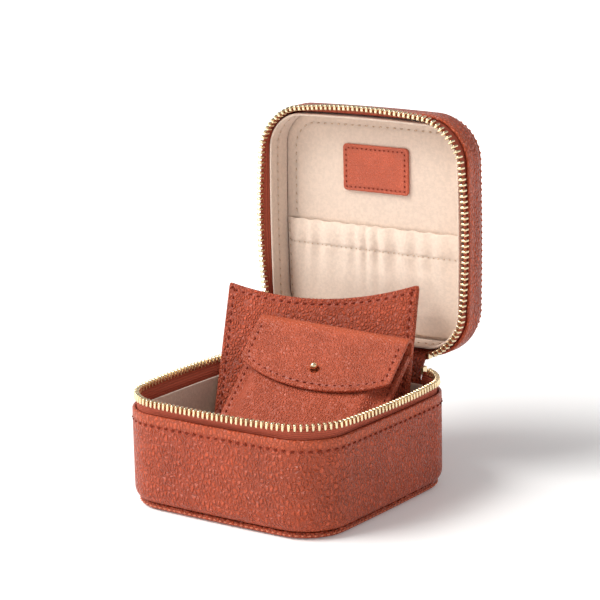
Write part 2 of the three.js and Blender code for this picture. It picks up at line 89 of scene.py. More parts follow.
# Fixed clearances between the case's layers.
TEETH_GAP = 0.15 * MM  # from a row of teeth to the rim plane
PANEL_GAP = 0.3 * MM  # from a wall's end to its end panel
PANEL_INSET = 2.0 * MM  # an end panel's edge, inside the case outline
LINING_INSET = 3.0 * MM  # the outer face of the wall lining
PAD_INSET = 3.4 * MM  # the edge of the lining's end panel
TAPE_GAP = 0.3 * MM  # between the wall leather and the tape
THREAD_SINK = 0.06 * MM  # how far thin leather lets its stitches sink in
POLE = 0.01 * MM  # what is left of a radius where a surface closes at its pole


# ---- settings ----


def length(name, description, default):
    """A length setting, given in millimetres and kept in metres."""
    return FloatProperty(
        name=name, description=description, default=default * MM, unit="LENGTH", precision=5
    )


def angle(name, description, default):
    """An angle setting, given in degrees and kept in radians."""
    return FloatProperty(
        name=name, description=description, default=math.radians(default), subtype="ANGLE"
    )


def colour(name, description, default):
    """A linear colour setting."""
    return FloatVectorProperty(
        name=name, description=description, default=default, subtype="COLOR", size=3, min=0, max=1
    )


class ShellSettings(PropertyGroup):
    """The leather box: its outline, its walls and its padded end panels."""

    corner_radius: length("Corner radius", "Radius of the case's upright corners", 16.5)
    side_bow: length("Side bow", "Swell of each side at its middle", 0.9)
    leather: length("Leather", "Thickness of the wall leather", 1.3)
    wall_edge: length("Wall edge", "Depth of the wall's turned edge below the rim plane", 5.7)
    wall_stitch: length("Wall stitch", "Distance of the topstitch from the turned edge", 4.0)
    tuck_length: length("Tuck length", "Stretch over which the wall curls in to the end panel", 4.2)
    tuck_inset: length("Tuck inset", "How far the wall curls in", 2.3)
    lining: length("Lining", "Thickness of the suede lining", 0.9)
    base_lining_edge: length("Base lining edge", "Depth of the base lining's edge", 6.5)
    lid_lining_edge: length("Lid lining edge", "Depth of the lid lining's edge", 3.2)
    lid_lining_stitch: length("Lid lining stitch", "Depth of the stitches round the lid's lining", 7.4)
    stations: IntProperty(name="Stations", description="Points round the outline", default=360)


class StitchSettings(PropertyGroup):
    """The thread of the topstitching."""

    pitch: length("Pitch", "Distance from one stitch to the next", 3.2)
    stitch: length("Stitch length", "Length of thread that shows", 2.0)
    radius: length("Thread radius", "Half the thickness of the thread", 0.34)
    slant: angle("Slant", "Turn of each stitch off its seam", 9)
    edge_pitch: length("Edge pitch", "Distance between the stitches round the end panels", 2.3)


class ZipSettings(PropertyGroup):
    """The zip round the rim."""

    inset: length("Inset", "Middle of the teeth, inside the case outline", 2.35)
    bow: length("Bow", "Swell of the zip at the middle of each side", 3.8)
    pitch: length("Pitch", "Distance from one tooth to the next", 2.05)
    tooth_height: length("Tooth height", "Height of a tooth", 2.7)
    tooth_width: length("Tooth width", "Width of a tooth across the tape", 2.4)
    tooth_length: length("Tooth length", "Length of a tooth along the tape", 1.08)
    tape: length("Tape", "Thickness of the tape", 0.7)
    tape_depth: length("Tape depth", "How far the tape is sewn in", 9.0)
    band: length("Band", "Straight stretch of tape beside the rim", 2.0)


class PocketSettings(PropertyGroup):
    """The gathered pocket and the label in the lid."""

    inset: length("Inset", "Distance of the pocket's sides from the case outline", 4.4)
    casing: length("Casing", "Depth of the elastic's casing below the mouth", 9.4)
    rise: length("Rise", "How far the pocket stands off the lining", 2.1)
    gather: length("Gather", "Height of the gathers at the casing's stitches", 0.85)
    pleats: IntProperty(name="Pleats", description="Gathers across the mouth", default=11)
    thickness: length("Thickness", "Thickness of the suede", 0.8)
    label_inset: length("Label stitch", "Distance of the label's stitches from its edge", 1.55)
    label_corner: length("Label corner", "Radius of the label's corners", 1.6)


class DividerSettings(PropertyGroup):
    """The scooped divider that leans against the lid."""

    width: length("Width", "Width of the divider", 75)
    height: length("Height", "Height of the divider at its corners", 66)
    scoop: length("Scoop", "Dip of the top edge at its middle", 6.2)
    thickness: length("Thickness", "Thickness over both leathers", 2.8)
    seam: length("Seam", "Distance of the stitches from the edge", 2.5)
    place: FloatVectorProperty(
        name="Place", description="Middle of the bottom edge", unit="LENGTH",
        default=(0.0014, 0.0074, 0.013),
    )
    yaw: angle("Yaw", "Turn about the vertical", 17.2)
    lean: angle("Lean", "Lean back from upright", 29.7)
    roll: angle("Roll", "Turn in its own plane", 2)


class PouchSettings(PropertyGroup):
    """The flap pouch with its ball stud."""

    width: length("Width", "Width of the pouch", 60.5)
    height: length("Height", "Height of the pouch", 68)
    hollow: length("Hollow", "Room inside the pouch", 3.9)
    leather: length("Leather", "Thickness of the back and the flap", 1.3)
    front: length("Front", "Thickness of the front", 1.2)
    flap_gap: length("Flap gap", "Room between the front and the flap", 0.5)
    corner: length("Corner", "Radius of the bottom corners", 6)
    flap_side: length("Flap side", "Drop of the flap at its sides", 19)
    flap_middle: length("Flap middle", "Drop of the flap's tip", 26.8)
    flap_seam: length("Flap seam", "Distance of the stitches from the flap's edge", 2.4)
    stud_drop: length("Stud drop", "Distance of the stud below the fold", 17.6)
    stud_hole: length("Stud hole", "Radius of the flap's hole", 1.6)
    ball: length("Ball", "Radius of the stud's ball", 1.3)
    place: FloatVectorProperty(
        name="Place", description="Middle of the bottom edge", unit="LENGTH",
        default=(0.0101, -0.0244, 0.011),
    )
    yaw: angle("Yaw", "Turn about the vertical", 15)
    lean: angle("Lean", "Lean back from upright", 51.3)
    roll: angle("Roll", "Turn in its own plane", -6.7)


class LookSettings(PropertyGroup):
    """Colours of the materials."""

    body: colour("Body", "Leather of the case", (0.53, 0.085, 0.034))
    divider: colour("Divider", "Leather of the divider", (0.51, 0.088, 0.038))
    pouch: colour("Pouch", "Leather of the pouch", (0.57, 0.115, 0.058))
    worn: colour("Worn", "Leather where it is bent or rubbed", (0.53, 0.10, 0.038))
    thread: colour("Thread", "Topstitching thread", (0.19, 0.024, 0.009))
    edge_thread: colour("Edge thread", "Thread round the end panels", (0.62, 0.19, 0.11))
    lining: colour("Lining", "Suede of the lining", (0.73, 0.575, 0.465))
    pocket: colour("Pocket", "Suede of the pocket", (0.80, 0.64, 0.52))
    lining_thread: colour("Lining thread", "Thread in the suede", (0.60, 0.43, 0.31))
    tape: colour("Tape", "Zip tape", (0.40, 0.07, 0.032))
    board: colour("Board", "Stiffening board", (0.27, 0.23, 0.19))
    brass: colour("Brass", "Zip and stud", (0.90, 0.72, 0.46))


class StageSettings(PropertyGroup):
    """Camera, lights and floor."""

    azimuth: angle("Azimuth", "Camera's turn to the right of the front", 35.74)
    elevation: angle("Elevation", "Camera's height above level", 13.15)
    roll: angle("Roll", "Camera's roll", 1.21)
    distance: length("Distance", "Camera's distance from its aim", 807.04)
    aim_height: length("Aim height", "Height of the aim above the floor, before its shifts", 45)
    shift_right: length("Shift right", "Aim's shift to the camera's right", 5.09)
    shift_up: length("Shift up", "Aim's shift along the camera's up", 26.28)
    lens: FloatProperty(name="Lens", description="Focal length on a 36 mm sensor", default=132.957)
    key: FloatProperty(name="Key light", description="Power of the key light", default=22.0)
    fill: FloatProperty(name="Fill light", description="Power of the fill light", default=0.8)
    sky: FloatProperty(name="Sky", description="Strength of the white surroundings", default=0.33)


SETTINGS = {
    "case_shell": ShellSettings,
    "case_stitch": StitchSettings,
    "case_zip": ZipSettings,
    "case_pocket": PocketSettings,
    "case_divider": DividerSettings,
    "case_pouch": PouchSettings,
    "case_look": LookSettings,
    "case_stage": StageSettings,
}


# ---- where the CAD frame has things ----


def span(node, axis):
    """Lowest and highest coordinate of a CAD node along an axis."""
    low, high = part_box(node)
    return low[axis], high[axis]


def hinge_line():
    """Depth and height of the lid's hinge line."""
    joint = next(j for j in frame["joints"] if j["name"] == "lid_hinge")
    return joint["pos_m"][1], joint["pos_m"][2]


def swing_open(points):
    """Lid points from the shut pose to the open one: (y, z) about the hinge line becomes (z, -y)."""
    hinge_y, hinge_z = hinge_line()
    out = np.array(points, float)
    out[..., 1] = hinge_y + (points[..., 2] - hinge_z)
    out[..., 2] = hinge_z - (points[..., 1] - hinge_y)
    return out


def posed(body, points):
    """Points worked out in the shut case, as they stand in the open one."""
    return swing_open(points) if body == "lid" else points


def posed_path(body, path, outward):
    """A stitch path of the shut case and its outward directions, as they stand in the open one."""
    start = posed(body, path)
    return start, posed(body, path + outward) - start


def shut_height(y):
    """Height, with the lid shut, of what the open lid has at depth y."""
    hinge_y, hinge_z = hinge_line()
    return hinge_z + (y - hinge_y)


def rim_height():
    """The plane in which the two rows of teeth meet."""
    return span("base_zip_teeth", 2)[1] + TEETH_GAP


def side_of(body):
    """Which way the lid (1) or the base (-1) lies from the rim plane, with the lid shut."""
    return 1 if body == "lid" else -1


def panel_depths(node, body):
    """Distances of an end panel's inner and outer face from the rim plane."""
    if body == "lid":
        near, far = (shut_height(y) for y in span(node, 1))
        return near - rim_height(), far - rim_height()
    far, near = span(node, 2)
    return rim_height() - near, rim_height() - far


def case_half(shell):
    """Half the case's width, measured near a corner."""
    return span("base_wall", 0)[1] - shell.side_bow


# ---- small sums ----


def bell(values, at, width):
    """exp(-((values - at) / width)^2)."""
    return np.exp(-(((values - at) / width) ** 2))


def smooth(share):
    """3 t^2 - 2 t^3, which starts and ends level."""
    return share * share * (3 - 2 * share)


def arc_lengths(points):
    """Distance of each point from the first, along the line."""
    return np.concatenate([[0], np.cumsum(np.linalg.norm(np.diff(points, axis=0), axis=1))])


def pick(values, at, where):
    """Rows of values, given at rising distances, read at other distances."""
    return np.stack([np.interp(where, at, values[:, k]) for k in range(values.shape[1])], 1)


def unit(vectors):
    """Rows at length 1."""
    return vectors / np.linalg.norm(vectors, axis=-1)[..., None]


def shut_loop(points):
    """A loop with its first point again at its end."""
    return np.vstack([points, points[:1]])


def open_stretch(values, keep):
    """The kept stretch of a loop's rows, in order from where it starts."""
    first = np.flatnonzero(keep & ~np.roll(keep, 1))[0]
    return np.roll(values, -first, axis=0)[: int(keep.sum())]


# ---- meshes ----


def grid_mesh(name, grid, closed_columns=True):
    """A tube-like surface through a grid of points (columns, loop, 3), faces outward.

    Each column is a closed loop. The columns close on each other, or end in flat caps.
    The UV map holds the distances along and around, in metres.
    """
    columns, loop = grid.shape[:2]
    last = columns if closed_columns else columns - 1
    i = np.repeat(np.arange(last), loop)
    j = np.tile(np.arange(loop), last)
    i_next, j_next = (i + 1) % columns, (j + 1) % loop
    quads = np.stack([i * loop + j, i_next * loop + j, i_next * loop + j_next, i * loop + j_next], 1)
    along = arc_lengths(shut_loop(grid[:, 0]))
    around = arc_lengths(shut_loop(grid[columns // 3]))
    uv = np.stack(
        [np.stack([along[i], around[j]], 1), np.stack([along[i + 1], around[j]], 1),
         np.stack([along[i + 1], around[j + 1]], 1), np.stack([along[i], around[j + 1]], 1)], 1
    )
    faces = quads.tolist()
    uvs = uv.reshape(-1, 2)
    if not closed_columns:
        faces.append(list(range(loop))[::-1])
        faces.append([(columns - 1) * loop + k for k in range(loop)])
        uvs = np.concatenate([uvs, np.zeros((2 * loop, 2))])
    return solid_mesh(name, grid.reshape(-1, 3), faces, uvs)


def solid_mesh(name, vertices, faces, uvs=None):
    """A smooth closed mesh object at the origin, turned to face outward by the sign of its volume."""
    corners = np.array([f[:3] for f in faces])
    a, b, c = (vertices[corners[:, k]] for k in range(3))
    d = vertices[np.array([f[-1] for f in faces])]
    volume = (a * np.cross(b, c)).sum() + (a * np.cross(c, d)).sum()
    if volume < 0:
        faces = [f[::-1] for f in faces]
        if uvs is not None:
            ends = np.cumsum([len(f) for f in faces])
            turned = [np.arange(e - 1, e - 1 - len(f), -1) for e, f in zip(ends, faces)]
            uvs = uvs[np.concatenate(turned)]
    mesh = bpy.data.meshes.new(name)
    mesh.from_pydata(vertices.tolist(), [], faces)
    if uvs is not None:
        mesh.uv_layers.new(name="pattern").uv.foreach_set("vector", uvs.astype(np.float32).ravel())
    mesh.shade_smooth()
    if mesh.validate():
        raise RuntimeError(f"{name} has broken faces")
    thing = bpy.data.objects.new(name, mesh)
    bpy.context.scene.collection.objects.link(thing)
    return thing


def many_mesh(name, copies):
    """One object of many closed tubes, from points (copies, rows, around, 3)."""
    count, rows, around = copies.shape[:3]
    starts = np.arange(count) * rows * around
    ring = starts[:, None, None] + np.arange(rows - 1)[None, :, None] * around
    k = np.arange(around)[None, None, :]
    k_next = (k + 1) % around
    corners = np.broadcast_arrays(ring + k, ring + k_next, ring + around + k_next, ring + around + k)
    faces = np.stack(corners, -1).reshape(-1, 4).tolist()
    for start in starts.tolist():
        faces.append([start + n for n in range(around)][::-1])
        faces.append([start + (rows - 1) * around + n for n in range(around)])
    return solid_mesh(name, copies.reshape(-1, 3), faces)


# ---- the case outline ----


def outline(shell, offset, bow, samples=None):
    """The bowed rounded square, anticlockwise from the middle of the front, as points and normals.

    A rounded square with equal steps along its edge is moved out by the offset, then each side
    swells by bow (1 - (across / half)^2) times the cube of (distance from the middle / half).
    """
    samples = samples or shell.stations
    half, radius = case_half(shell), shell.corner_radius
    straight = half - radius
    quarter = 2 * straight + radius * math.pi / 2
    s = np.arange(samples) * 4 * quarter / samples + straight
    side = np.floor(s / quarter)
    q = s - side * quarter
    on_side = q < 2 * straight
    turn = -math.pi / 2 + np.where(on_side, 0, (q - 2 * straight) / radius)
    nx, ny = np.cos(turn), np.sin(turn)
    x = np.where(on_side, q - straight, straight + radius * nx)
    y = np.where(on_side, -half, -straight + radius * ny)
    c, n = np.cos(side * math.pi / 2), np.sin(side * math.pi / 2)
    x, y, nx, ny = x * c - y * n, x * n + y * c, nx * c - ny * n, nx * n + ny * c
    x, y = x + nx * offset, y + ny * offset
    u, v = x / (half + offset), y / (half + offset)
    points = np.stack([x + bow * (1 - v * v) * u**3, y + bow * (1 - u * u) * v**3], 1)
    return points, np.stack([nx, ny], 1)


def level_path(points, height):
    """Points of the plan at one height."""
    return np.column_stack([points, np.full(len(points), height)])


def ring_grid(shell, profile, side, keep=None):
    """A profile of (offset, depth, bow) carried round the outline. Depth counts from the rim plane.

    keep is a test on (x, y) that picks the stations of an open stretch.
    """
    rim = rim_height()
    rings = [
        level_path(outline(shell, offset, bow)[0], rim + side * depth)
        for offset, depth, bow in profile
    ]
    grid = np.stack(rings, 1)
    if keep is None:
        return grid
    points, _ = outline(shell, 0, shell.side_bow)
    return open_stretch(grid, keep(points[:, 0], points[:, 1]))


def band(centre, thickness, dents=(), cap=6):
    """A closed profile of even thickness round a centre line of (offset, depth, bow), with round ends.

    A dent (at, width, amount) lowers the outer side by amount exp(-((s - at) / width)^2).
    """
    tangent = unit(np.gradient(centre[:, :2], axis=0))
    normal = np.stack([tangent[:, 1], -tangent[:, 0]], 1)
    s = arc_lengths(centre[:, :2])
    lowered = sum((amount * bell(s, at, width) for at, width, amount in dents), np.zeros(len(s)))
    h = thickness / 2
    outer, inner = centre.copy(), centre.copy()
    outer[:, :2] += normal * (h - lowered)[:, None]
    inner[:, :2] -= normal * h
    turn = np.linspace(0, math.pi, cap + 2)[1:-1]

    def end(k, sign):
        swing = np.cos(turn)[:, None] * normal[k] + np.sin(turn)[:, None] * tangent[k]
        return np.column_stack([centre[k, :2] + h * sign * swing, np.full(cap, centre[k, 2])])

    return np.concatenate([outer, end(-1, 1), inner[::-1], end(0, -1)])


def spaced(points, step):
    """Points along a polyline, a step apart."""
    points = np.array(points, float)
    s = arc_lengths(points)
    return pick(points, s, np.linspace(0, s[-1], max(2, int(round(s[-1] / step)) + 1)))


def curve(start, control, end, steps=14):
    """A quadratic curve: (1-t)^2 start + 2 t (1-t) control + t^2 end."""
    t = np.linspace(0, 1, steps)[:, None]
    return (1 - t) ** 2 * np.array(start) + 2 * t * (1 - t) * np.array(control) + t**2 * np.array(end)


def wall_centre(shell, end):
    """Middle of the wall leather from its turned edge down to where it curls in to the end panel."""
    middle = -shell.leather / 2
    tuck = end - shell.tuck_length
    down = [(middle, shell.wall_edge + shell.leather / 2), (middle, tuck)]
    foot = (middle - shell.tuck_inset * 0.9, end - 0.6 * MM)
    curl = curve((middle, tuck), (middle, end - 1.1 * MM), foot)
    line = np.concatenate([spaced(down, 0.45 * MM)[:-1], curl])
    return np.column_stack([line, np.full(len(line), shell.side_bow)])


def tape_line(shell, zip_, depth):
    """Middle of the tape at a depth: inside the wall below, bulging out to the teeth at the rim."""
    in_wall = -shell.leather - TAPE_GAP - zip_.tape / 2
    low = shell.wall_edge - 0.2 * MM
    share = smooth(np.clip((low - depth) / (low - zip_.band), 0, 1))
    offset = in_wall + (-zip_.inset - in_wall) * share
    return np.stack([offset, depth, shell.side_bow + (zip_.bow - shell.side_bow) * share], -1)


# ---- flat pieces ----


def plate_grid(
    edge_points, centre, place, half_thickness, edge, hole=0.0, step=0.7 * MM, relief=None
):
    """A flat piece with rounded edges, laid on a surface.

    Rays run from the edge to a round hole at the centre, or to a pole where there is no hole. At a
    distance d from either edge the half thickness is h sqrt(1 - (1 - d / e)^2) within the rounding e.
    place(x, y, up) gives the point that lies up from the flat pattern's (x, y), and relief(x, y, d)
    lifts the front.
    """
    ray = np.array(centre, float) - edge_points
    run = np.linalg.norm(ray, axis=1) - hole
    turn = 1 - np.cos(np.linspace(0, math.pi / 2, 6))
    inner_edge = edge if hole else POLE
    flat_end = inner_edge if hole else 0.06 * MM
    steps = max(6, int(np.median(run) / step))
    share = np.linspace(0, 1, steps)[None, 1:]
    middle = edge + (run[:, None] - flat_end - edge) * share
    outer = np.broadcast_to(edge * turn, (len(run), len(turn)))
    d = np.concatenate([outer, middle, run[:, None] - inner_edge * turn[::-1]], axis=1)
    points = edge_points[:, None] + unit(ray)[:, None] * d[..., None]
    nearness = np.minimum(d / edge, (run[:, None] - d) / inner_edge)
    rounding = np.sqrt(np.clip(1 - (1 - np.clip(nearness, 0, 1)) ** 2, 0, 1))
    h = half_thickness * rounding
    front = h + (relief(points[..., 0], points[..., 1], d) * rounding if relief else 0)
    top = place(points[..., 0], points[..., 1], front)
    bottom = place(points[..., 0], points[..., 1], -h)
    return np.concatenate([top, bottom[:, 1:-1][:, ::-1]], axis=1)


def dense(points, step):
    """A closed outline with points a step apart."""
    return spaced(shut_loop(points), step)[:-1]


def inset_loop(points, centre, distance):
    """An outline drawn in by a distance along its own inward normals."""
    tangent = unit(np.roll(points, -1, 0) - np.roll(points, 1, 0))
    normal = np.stack([-tangent[:, 1], tangent[:, 0]], 1)
    inward = np.sign(np.einsum("ij,ij->i", normal, np.array(centre) - points).sum())
    return points + normal * inward * distance


def flat_place(height, side):
    """Lays a flat pattern level at a height, its front up (1) or down (-1)."""

    def place(x, y, up):
        return np.stack([x, y, height + side * up + 0 * x], -1)

    return place


def rounded_rectangle(width, height, radius, centre=(0, 0), steps=8):
    """A rounded rectangle's outline, anticlockwise."""
    x, y = width / 2 - radius, height / 2 - radius
    out = []
    for k, (cx, cy) in enumerate([(x, -y), (x, y), (-x, y), (-x, -y)]):
        turn = np.linspace(-math.pi / 2, 0, steps) + k * math.pi / 2
        out.append(np.stack([cx + radius * np.cos(turn), cy + radius * np.sin(turn)], 1))
    return np.concatenate(out) + np.array(centre)


def standing(settings):
    """The turn and the place of a piece built flat (+X across, +Y up it, +Z out of its front)."""

    def turn(axis, by):
        c, s = math.cos(by), math.sin(by)
        rows = {"x": [[1, 0, 0], [0, c, -s], [0, s, c]], "z": [[c, -s, 0], [s, c, 0], [0, 0, 1]]}
        return np.array(rows[axis])

    basis = turn("z", settings.yaw) @ turn("x", math.pi / 2 - settings.lean) @ turn("z", settings.roll)
    return basis, np.array(settings.place)


def stand(settings, points):
    """Local points of a standing piece in the case's frame."""
    basis, origin = standing(settings)
    return points @ basis.T + origin


# ---- stitches ----


def stitch_run(name, path, outward, settings, pitch=None, closed=True, size=1.0):
    """A row of stitches along a path: short thread arcs, h (1 - t^2) high, that dive in at their ends."""
    pitch = pitch or settings.pitch
    loop, normals = (shut_loop(path), shut_loop(outward)) if closed else (path, outward)
    s = arc_lengths(loop)
    count = max(2, int(round(s[-1] / pitch)))
    at = (np.arange(count) + 0.5) * s[-1] / count
    reach = 0.3 * MM
    middle, normal = pick(loop, s, at), unit(pick(normals, s, at))
    tangent = pick(loop, s, np.minimum(at + reach, s[-1])) - pick(loop, s, np.maximum(at - reach, 0))
    tangent = unit(tangent - normal * (tangent * normal).sum(1)[:, None])
    across = np.cross(normal, tangent)
    c, n = math.cos(settings.slant), math.sin(settings.slant)
    tangent, across = tangent * c + across * n, across * c - tangent * n
    t = np.linspace(-1, 1, 8)
    long = settings.stitch * size * pitch / settings.pitch / 2 * t
    thick = settings.radius * size * (1 - 0.75 * np.abs(t) ** 3)
    lift = settings.radius * size * (1.15 * (1 - t * t) - 0.55)
    around = np.linspace(0, 2 * math.pi, 7)[:-1]
    side = thick[:, None] * np.cos(around)
    high = lift[:, None] + 0.75 * thick[:, None] * np.sin(around)
    copies = (
        middle[:, None, None]
        + tangent[:, None, None] * (long[:, None] + 0 * side)[None, ..., None]
        + across[:, None, None] * side[None, ..., None]
        + normal[:, None, None] * high[None, ..., None]
    )
    return many_mesh(name, copies)


def mark(piece, name, values):
    """Keeps a share of 0..1 at each vertex, on top of what the attribute held before."""
    layer = piece.data.attributes.get(name) or piece.data.attributes.new(name, "FLOAT", "POINT")
    before = np.empty(len(piece.data.vertices), np.float32)
    layer.data.foreach_get("value", before)
    layer.data.foreach_set("value", np.maximum(np.ravel(values), before).astype(np.float32))


def sew(name, piece, path, outward, settings, pitch=None, closed=True, size=1.0):
    """Stitches a piece along a path, and marks the channel that the thread pulls into it.

    The mark is the attribute "seam", exp(-(distance from the path / width)^2). The distances are
    taken to 50 points of the path at a time, which keeps the table of them small.
    """
    width = 0.62 * MM
    count = len(piece.data.vertices)
    places = np.empty(count * 3, np.float32)
    piece.data.vertices.foreach_get("co", places)
    places = places.reshape(-1, 3)
    line = spaced(shut_loop(path) if closed else path, 0.4 * MM).astype(np.float32)
    nearest = np.full(count, 1.0, np.float32)
    for part in np.array_split(line, max(1, len(line) // 50)):
        away = ((places[:, None] - part[None]) ** 2).sum(-1)
        nearest = np.minimum(nearest, away.min(1))
    # the leather smooths its grain in this channel, and leather and suede paint shade into it
    mark(piece, "seam", np.exp(-nearest / width**2))
    return stitch_run(name, path, outward, settings, pitch=pitch, closed=closed, size=size)


def wall_seam(shell, depth, body, offset, facing=1):
    """A line round the outline at a depth from the rim plane, facing out (1) or in (-1)."""
    points, normals = outline(shell, offset, shell.side_bow, 900)
    path = level_path(points, rim_height() + side_of(body) * depth)
    return posed_path(body, path, facing * level_path(normals, 0))


# ---- materials ----


class Shading:
    """Small helper that adds nodes to a new material. Its where is the place on the object."""

    def __init__(self, name):
        self.material = bpy.data.materials.new(name)
        self.material.use_nodes = True
        self.tree = self.material.node_tree
        self.tree.nodes.clear()
        self.output = self.tree.nodes.new("ShaderNodeOutputMaterial")
        self.where = self.add("TexCoord", out="Object")

    def add(self, kind, out=0, options=None, **inputs):
        """Adds a node and returns its socket out. An input, named or i and its number, is a value
        or another node's socket."""
        node = self.tree.nodes.new("ShaderNode" + kind)
        for key, value in (options or {}).items():
            setattr(node, key, value)
        for key, value in inputs.items():
            named = key.replace("_", " ")
            socket = node.inputs[int(key[1:])] if key[1:].isdigit() else node.inputs[named]
            if isinstance(value, bpy.types.NodeSocket):
                self.tree.links.new(value, socket)
            else:
                socket.default_value = value
        return node.outputs[out]

    def math(self, operation, a, b):
        """One arithmetic step."""
        return self.add("Math", options={"operation": operation}, i0=a, i1=b)

    def attribute(self, name):
        """A share kept at the mesh's vertices."""
        return self.add("Attribute", out="Fac", options={"attribute_name": name})

    def noise(self, scale, detail=2.0, roughness=0.5, out=0):
        """Noise at a number of waves to the metre."""
        return self.add(
            "TexNoise", out=out, Vector=self.where, Scale=scale, Detail=detail, Roughness=roughness
        )

    def blend(self, share, a, b, kind="MIX"):
        """Mixes two colours."""
        options = {"data_type": "RGBA", "blend_type": kind, "clamp_factor": True}
        return self.add("Mix", out=2, options=options, i0=share, i6=a, i7=b)

    def ramp(self, value, low, high):
        """Stretches low..high to 0..1, smoothly."""
        options = {"interpolation_type": "SMOOTHSTEP"}
        return self.add("MapRange", options=options, Value=value, From_Min=low, From_Max=high)

    def finish(self, tone, roughness, normal=None, **inputs):
        """Joins a shader to the output and gives the material back."""
        if normal:
            inputs["Normal"] = normal
        shader = self.add("BsdfPrincipled", Base_Color=tone, Roughness=roughness, **inputs)
        self.tree.links.new(shader, self.output.inputs["Surface"])
        return self.material


def rgba(value, scale=1.0):
    """A colour with full alpha."""
    return tuple(min(1.0, channel * scale) for channel in value) + (1.0,)


def leather(name, tint, worn, grain, depth, roughness, crease_shade):
    """Pebbled leather: cells with painted shade in the creases between them, cloudy colour, lighter where
    it is worn, and painted shade in the stitch channels.
    """
    s = Shading(name)
    drift = s.noise(360.0, out="Color")
    moved = s.add("VectorMath", options={"operation": "SCALE"}, i0=drift, Scale=0.0013)
    shifted = s.add("VectorMath", options={"operation": "ADD"}, i0=s.where, i1=moved)
    spot = s.add("VectorMath", options={"operation": "MULTIPLY"}, i0=shifted, i1=(1.15, 1.15, 0.72))
    cells = {"Vector": spot, "Scale": 1 / grain, "Randomness": 1.0}
    edges = s.add("TexVoronoi", options={"feature": "DISTANCE_TO_EDGE"}, **cells)
    cell = s.add("TexVoronoi", out="Color", **cells)
    pebble, crease_shade_mask = s.ramp(edges, 0.0, 0.42), s.ramp(edges, 0.0, 0.2)
    fine, cloud, patch = s.noise(2600.0, 3.0), s.noise(70.0, 4.0), s.noise(18.0)
    wear, seam = s.attribute("wear"), s.attribute("seam")
    raised = s.add("NewGeometry", out="Pointiness")
    rubbed = s.math("MULTIPLY", s.ramp(raised, 0.53, 0.62), 0.55)
    lighter = s.math("MAXIMUM", wear, rubbed)
    colour_ = s.blend(s.ramp(cloud, 0.3, 0.7), rgba(tint, 0.88), rgba(tint, 1.1))
    colour_ = s.blend(s.math("MULTIPLY", s.ramp(patch, 0.35, 0.7), 0.35), colour_, rgba(worn, 0.82))
    colour_ = s.blend(s.math("MULTIPLY", lighter, 0.75), colour_, rgba(worn))
    # painted shade: darkens the creases between the pebbles, on top of the bump
    shade = s.math("ADD", s.math("MULTIPLY", crease_shade_mask, 1 - crease_shade), crease_shade)
    colour_ = s.blend(1.0, colour_, s.add("CombineXYZ", X=shade, Y=shade, Z=shade), "MULTIPLY")
    # painted shade in the stitch channel, where the seam mark lies
    shadow = (tint[0] * 0.33, tint[1] * 0.22, tint[2] * 0.2, 1.0)
    colour_ = s.blend(s.math("MULTIPLY", seam, 0.38), colour_, shadow)
    tone = s.math("MULTIPLY", s.add("SeparateColor", i0=cell), 0.10)
    flattened = s.math("MAXIMUM", s.math("MULTIPLY", wear, 0.75), s.math("MULTIPLY", seam, 0.85))
    smoother = s.math("SUBTRACT", 1.0, flattened)
    height = s.math("ADD", s.math("MULTIPLY", pebble, smoother), s.math("MULTIPLY", fine, 0.07))
    normal = s.add("Bump", Strength=1.0, Distance=depth, Height=height)
    rough = s.math("ADD", s.math("MULTIPLY", s.ramp(cloud, 0.25, 0.75), 0.10), roughness - 0.05)
    rough = s.math("SUBTRACT", rough, tone)
    return s.finish(colour_, rough, normal, Specular_IOR_Level=0.3)


def suede(name, tint):
    """Suede: a fine nap with brushed light and dark patches, and painted shade in the stitch channels."""
    s = Shading(name)
    fuzz, brushed, cloud = s.noise(3400.0, 4.0, 0.7), s.noise(850.0, 4.0, 0.6), s.noise(26.0)
    seam = s.attribute("seam")
    tone = s.blend(s.ramp(brushed, 0.34, 0.66), rgba(tint, 0.92), rgba(tint, 1.06))
    tone = s.blend(s.math("MULTIPLY", s.ramp(cloud, 0.3, 0.7), 0.3), tone, rgba(tint, 0.94))
    # painted shade: darkens the suede in the stitch channels
    tone = s.blend(s.math("MULTIPLY", seam, 0.5), tone, rgba(tint, 0.6))
    tone = s.blend(s.math("MULTIPLY", s.ramp(fuzz, 0.3, 0.7), 0.25), tone, rgba(tint, 0.86))
    height = s.math("ADD", fuzz, s.math("MULTIPLY", brushed, 0.8))
    normal = s.add("Bump", Strength=0.55, Distance=0.00022, Height=height)
    return s.finish(
        tone, 0.95, normal, Specular_IOR_Level=0.15, Sheen_Weight=0.35, Sheen_Roughness=0.6
    )


def thread(name, tint):
    """Twisted thread: diagonal plies on a soft matt fibre."""
    s = Shading(name)
    diagonal = {"bands_direction": "DIAGONAL"}
    plies = s.add("TexWave", options=diagonal, Vector=s.where, Scale=520.0, Distortion=3.0)
    fuzz = s.noise(3000.0)
    tone = s.blend(s.ramp(plies, 0.2, 0.8), rgba(tint, 0.78), rgba(tint, 1.15))
    height = s.math("ADD", plies, s.math("MULTIPLY", fuzz, 0.4))
    normal = s.add("Bump", Strength=0.6, Distance=0.00008, Height=height)
    rough = s.math("ADD", s.math("MULTIPLY", fuzz, 0.2), 0.7)
    return s.finish(tone, rough, normal, Specular_IOR_Level=0.2)


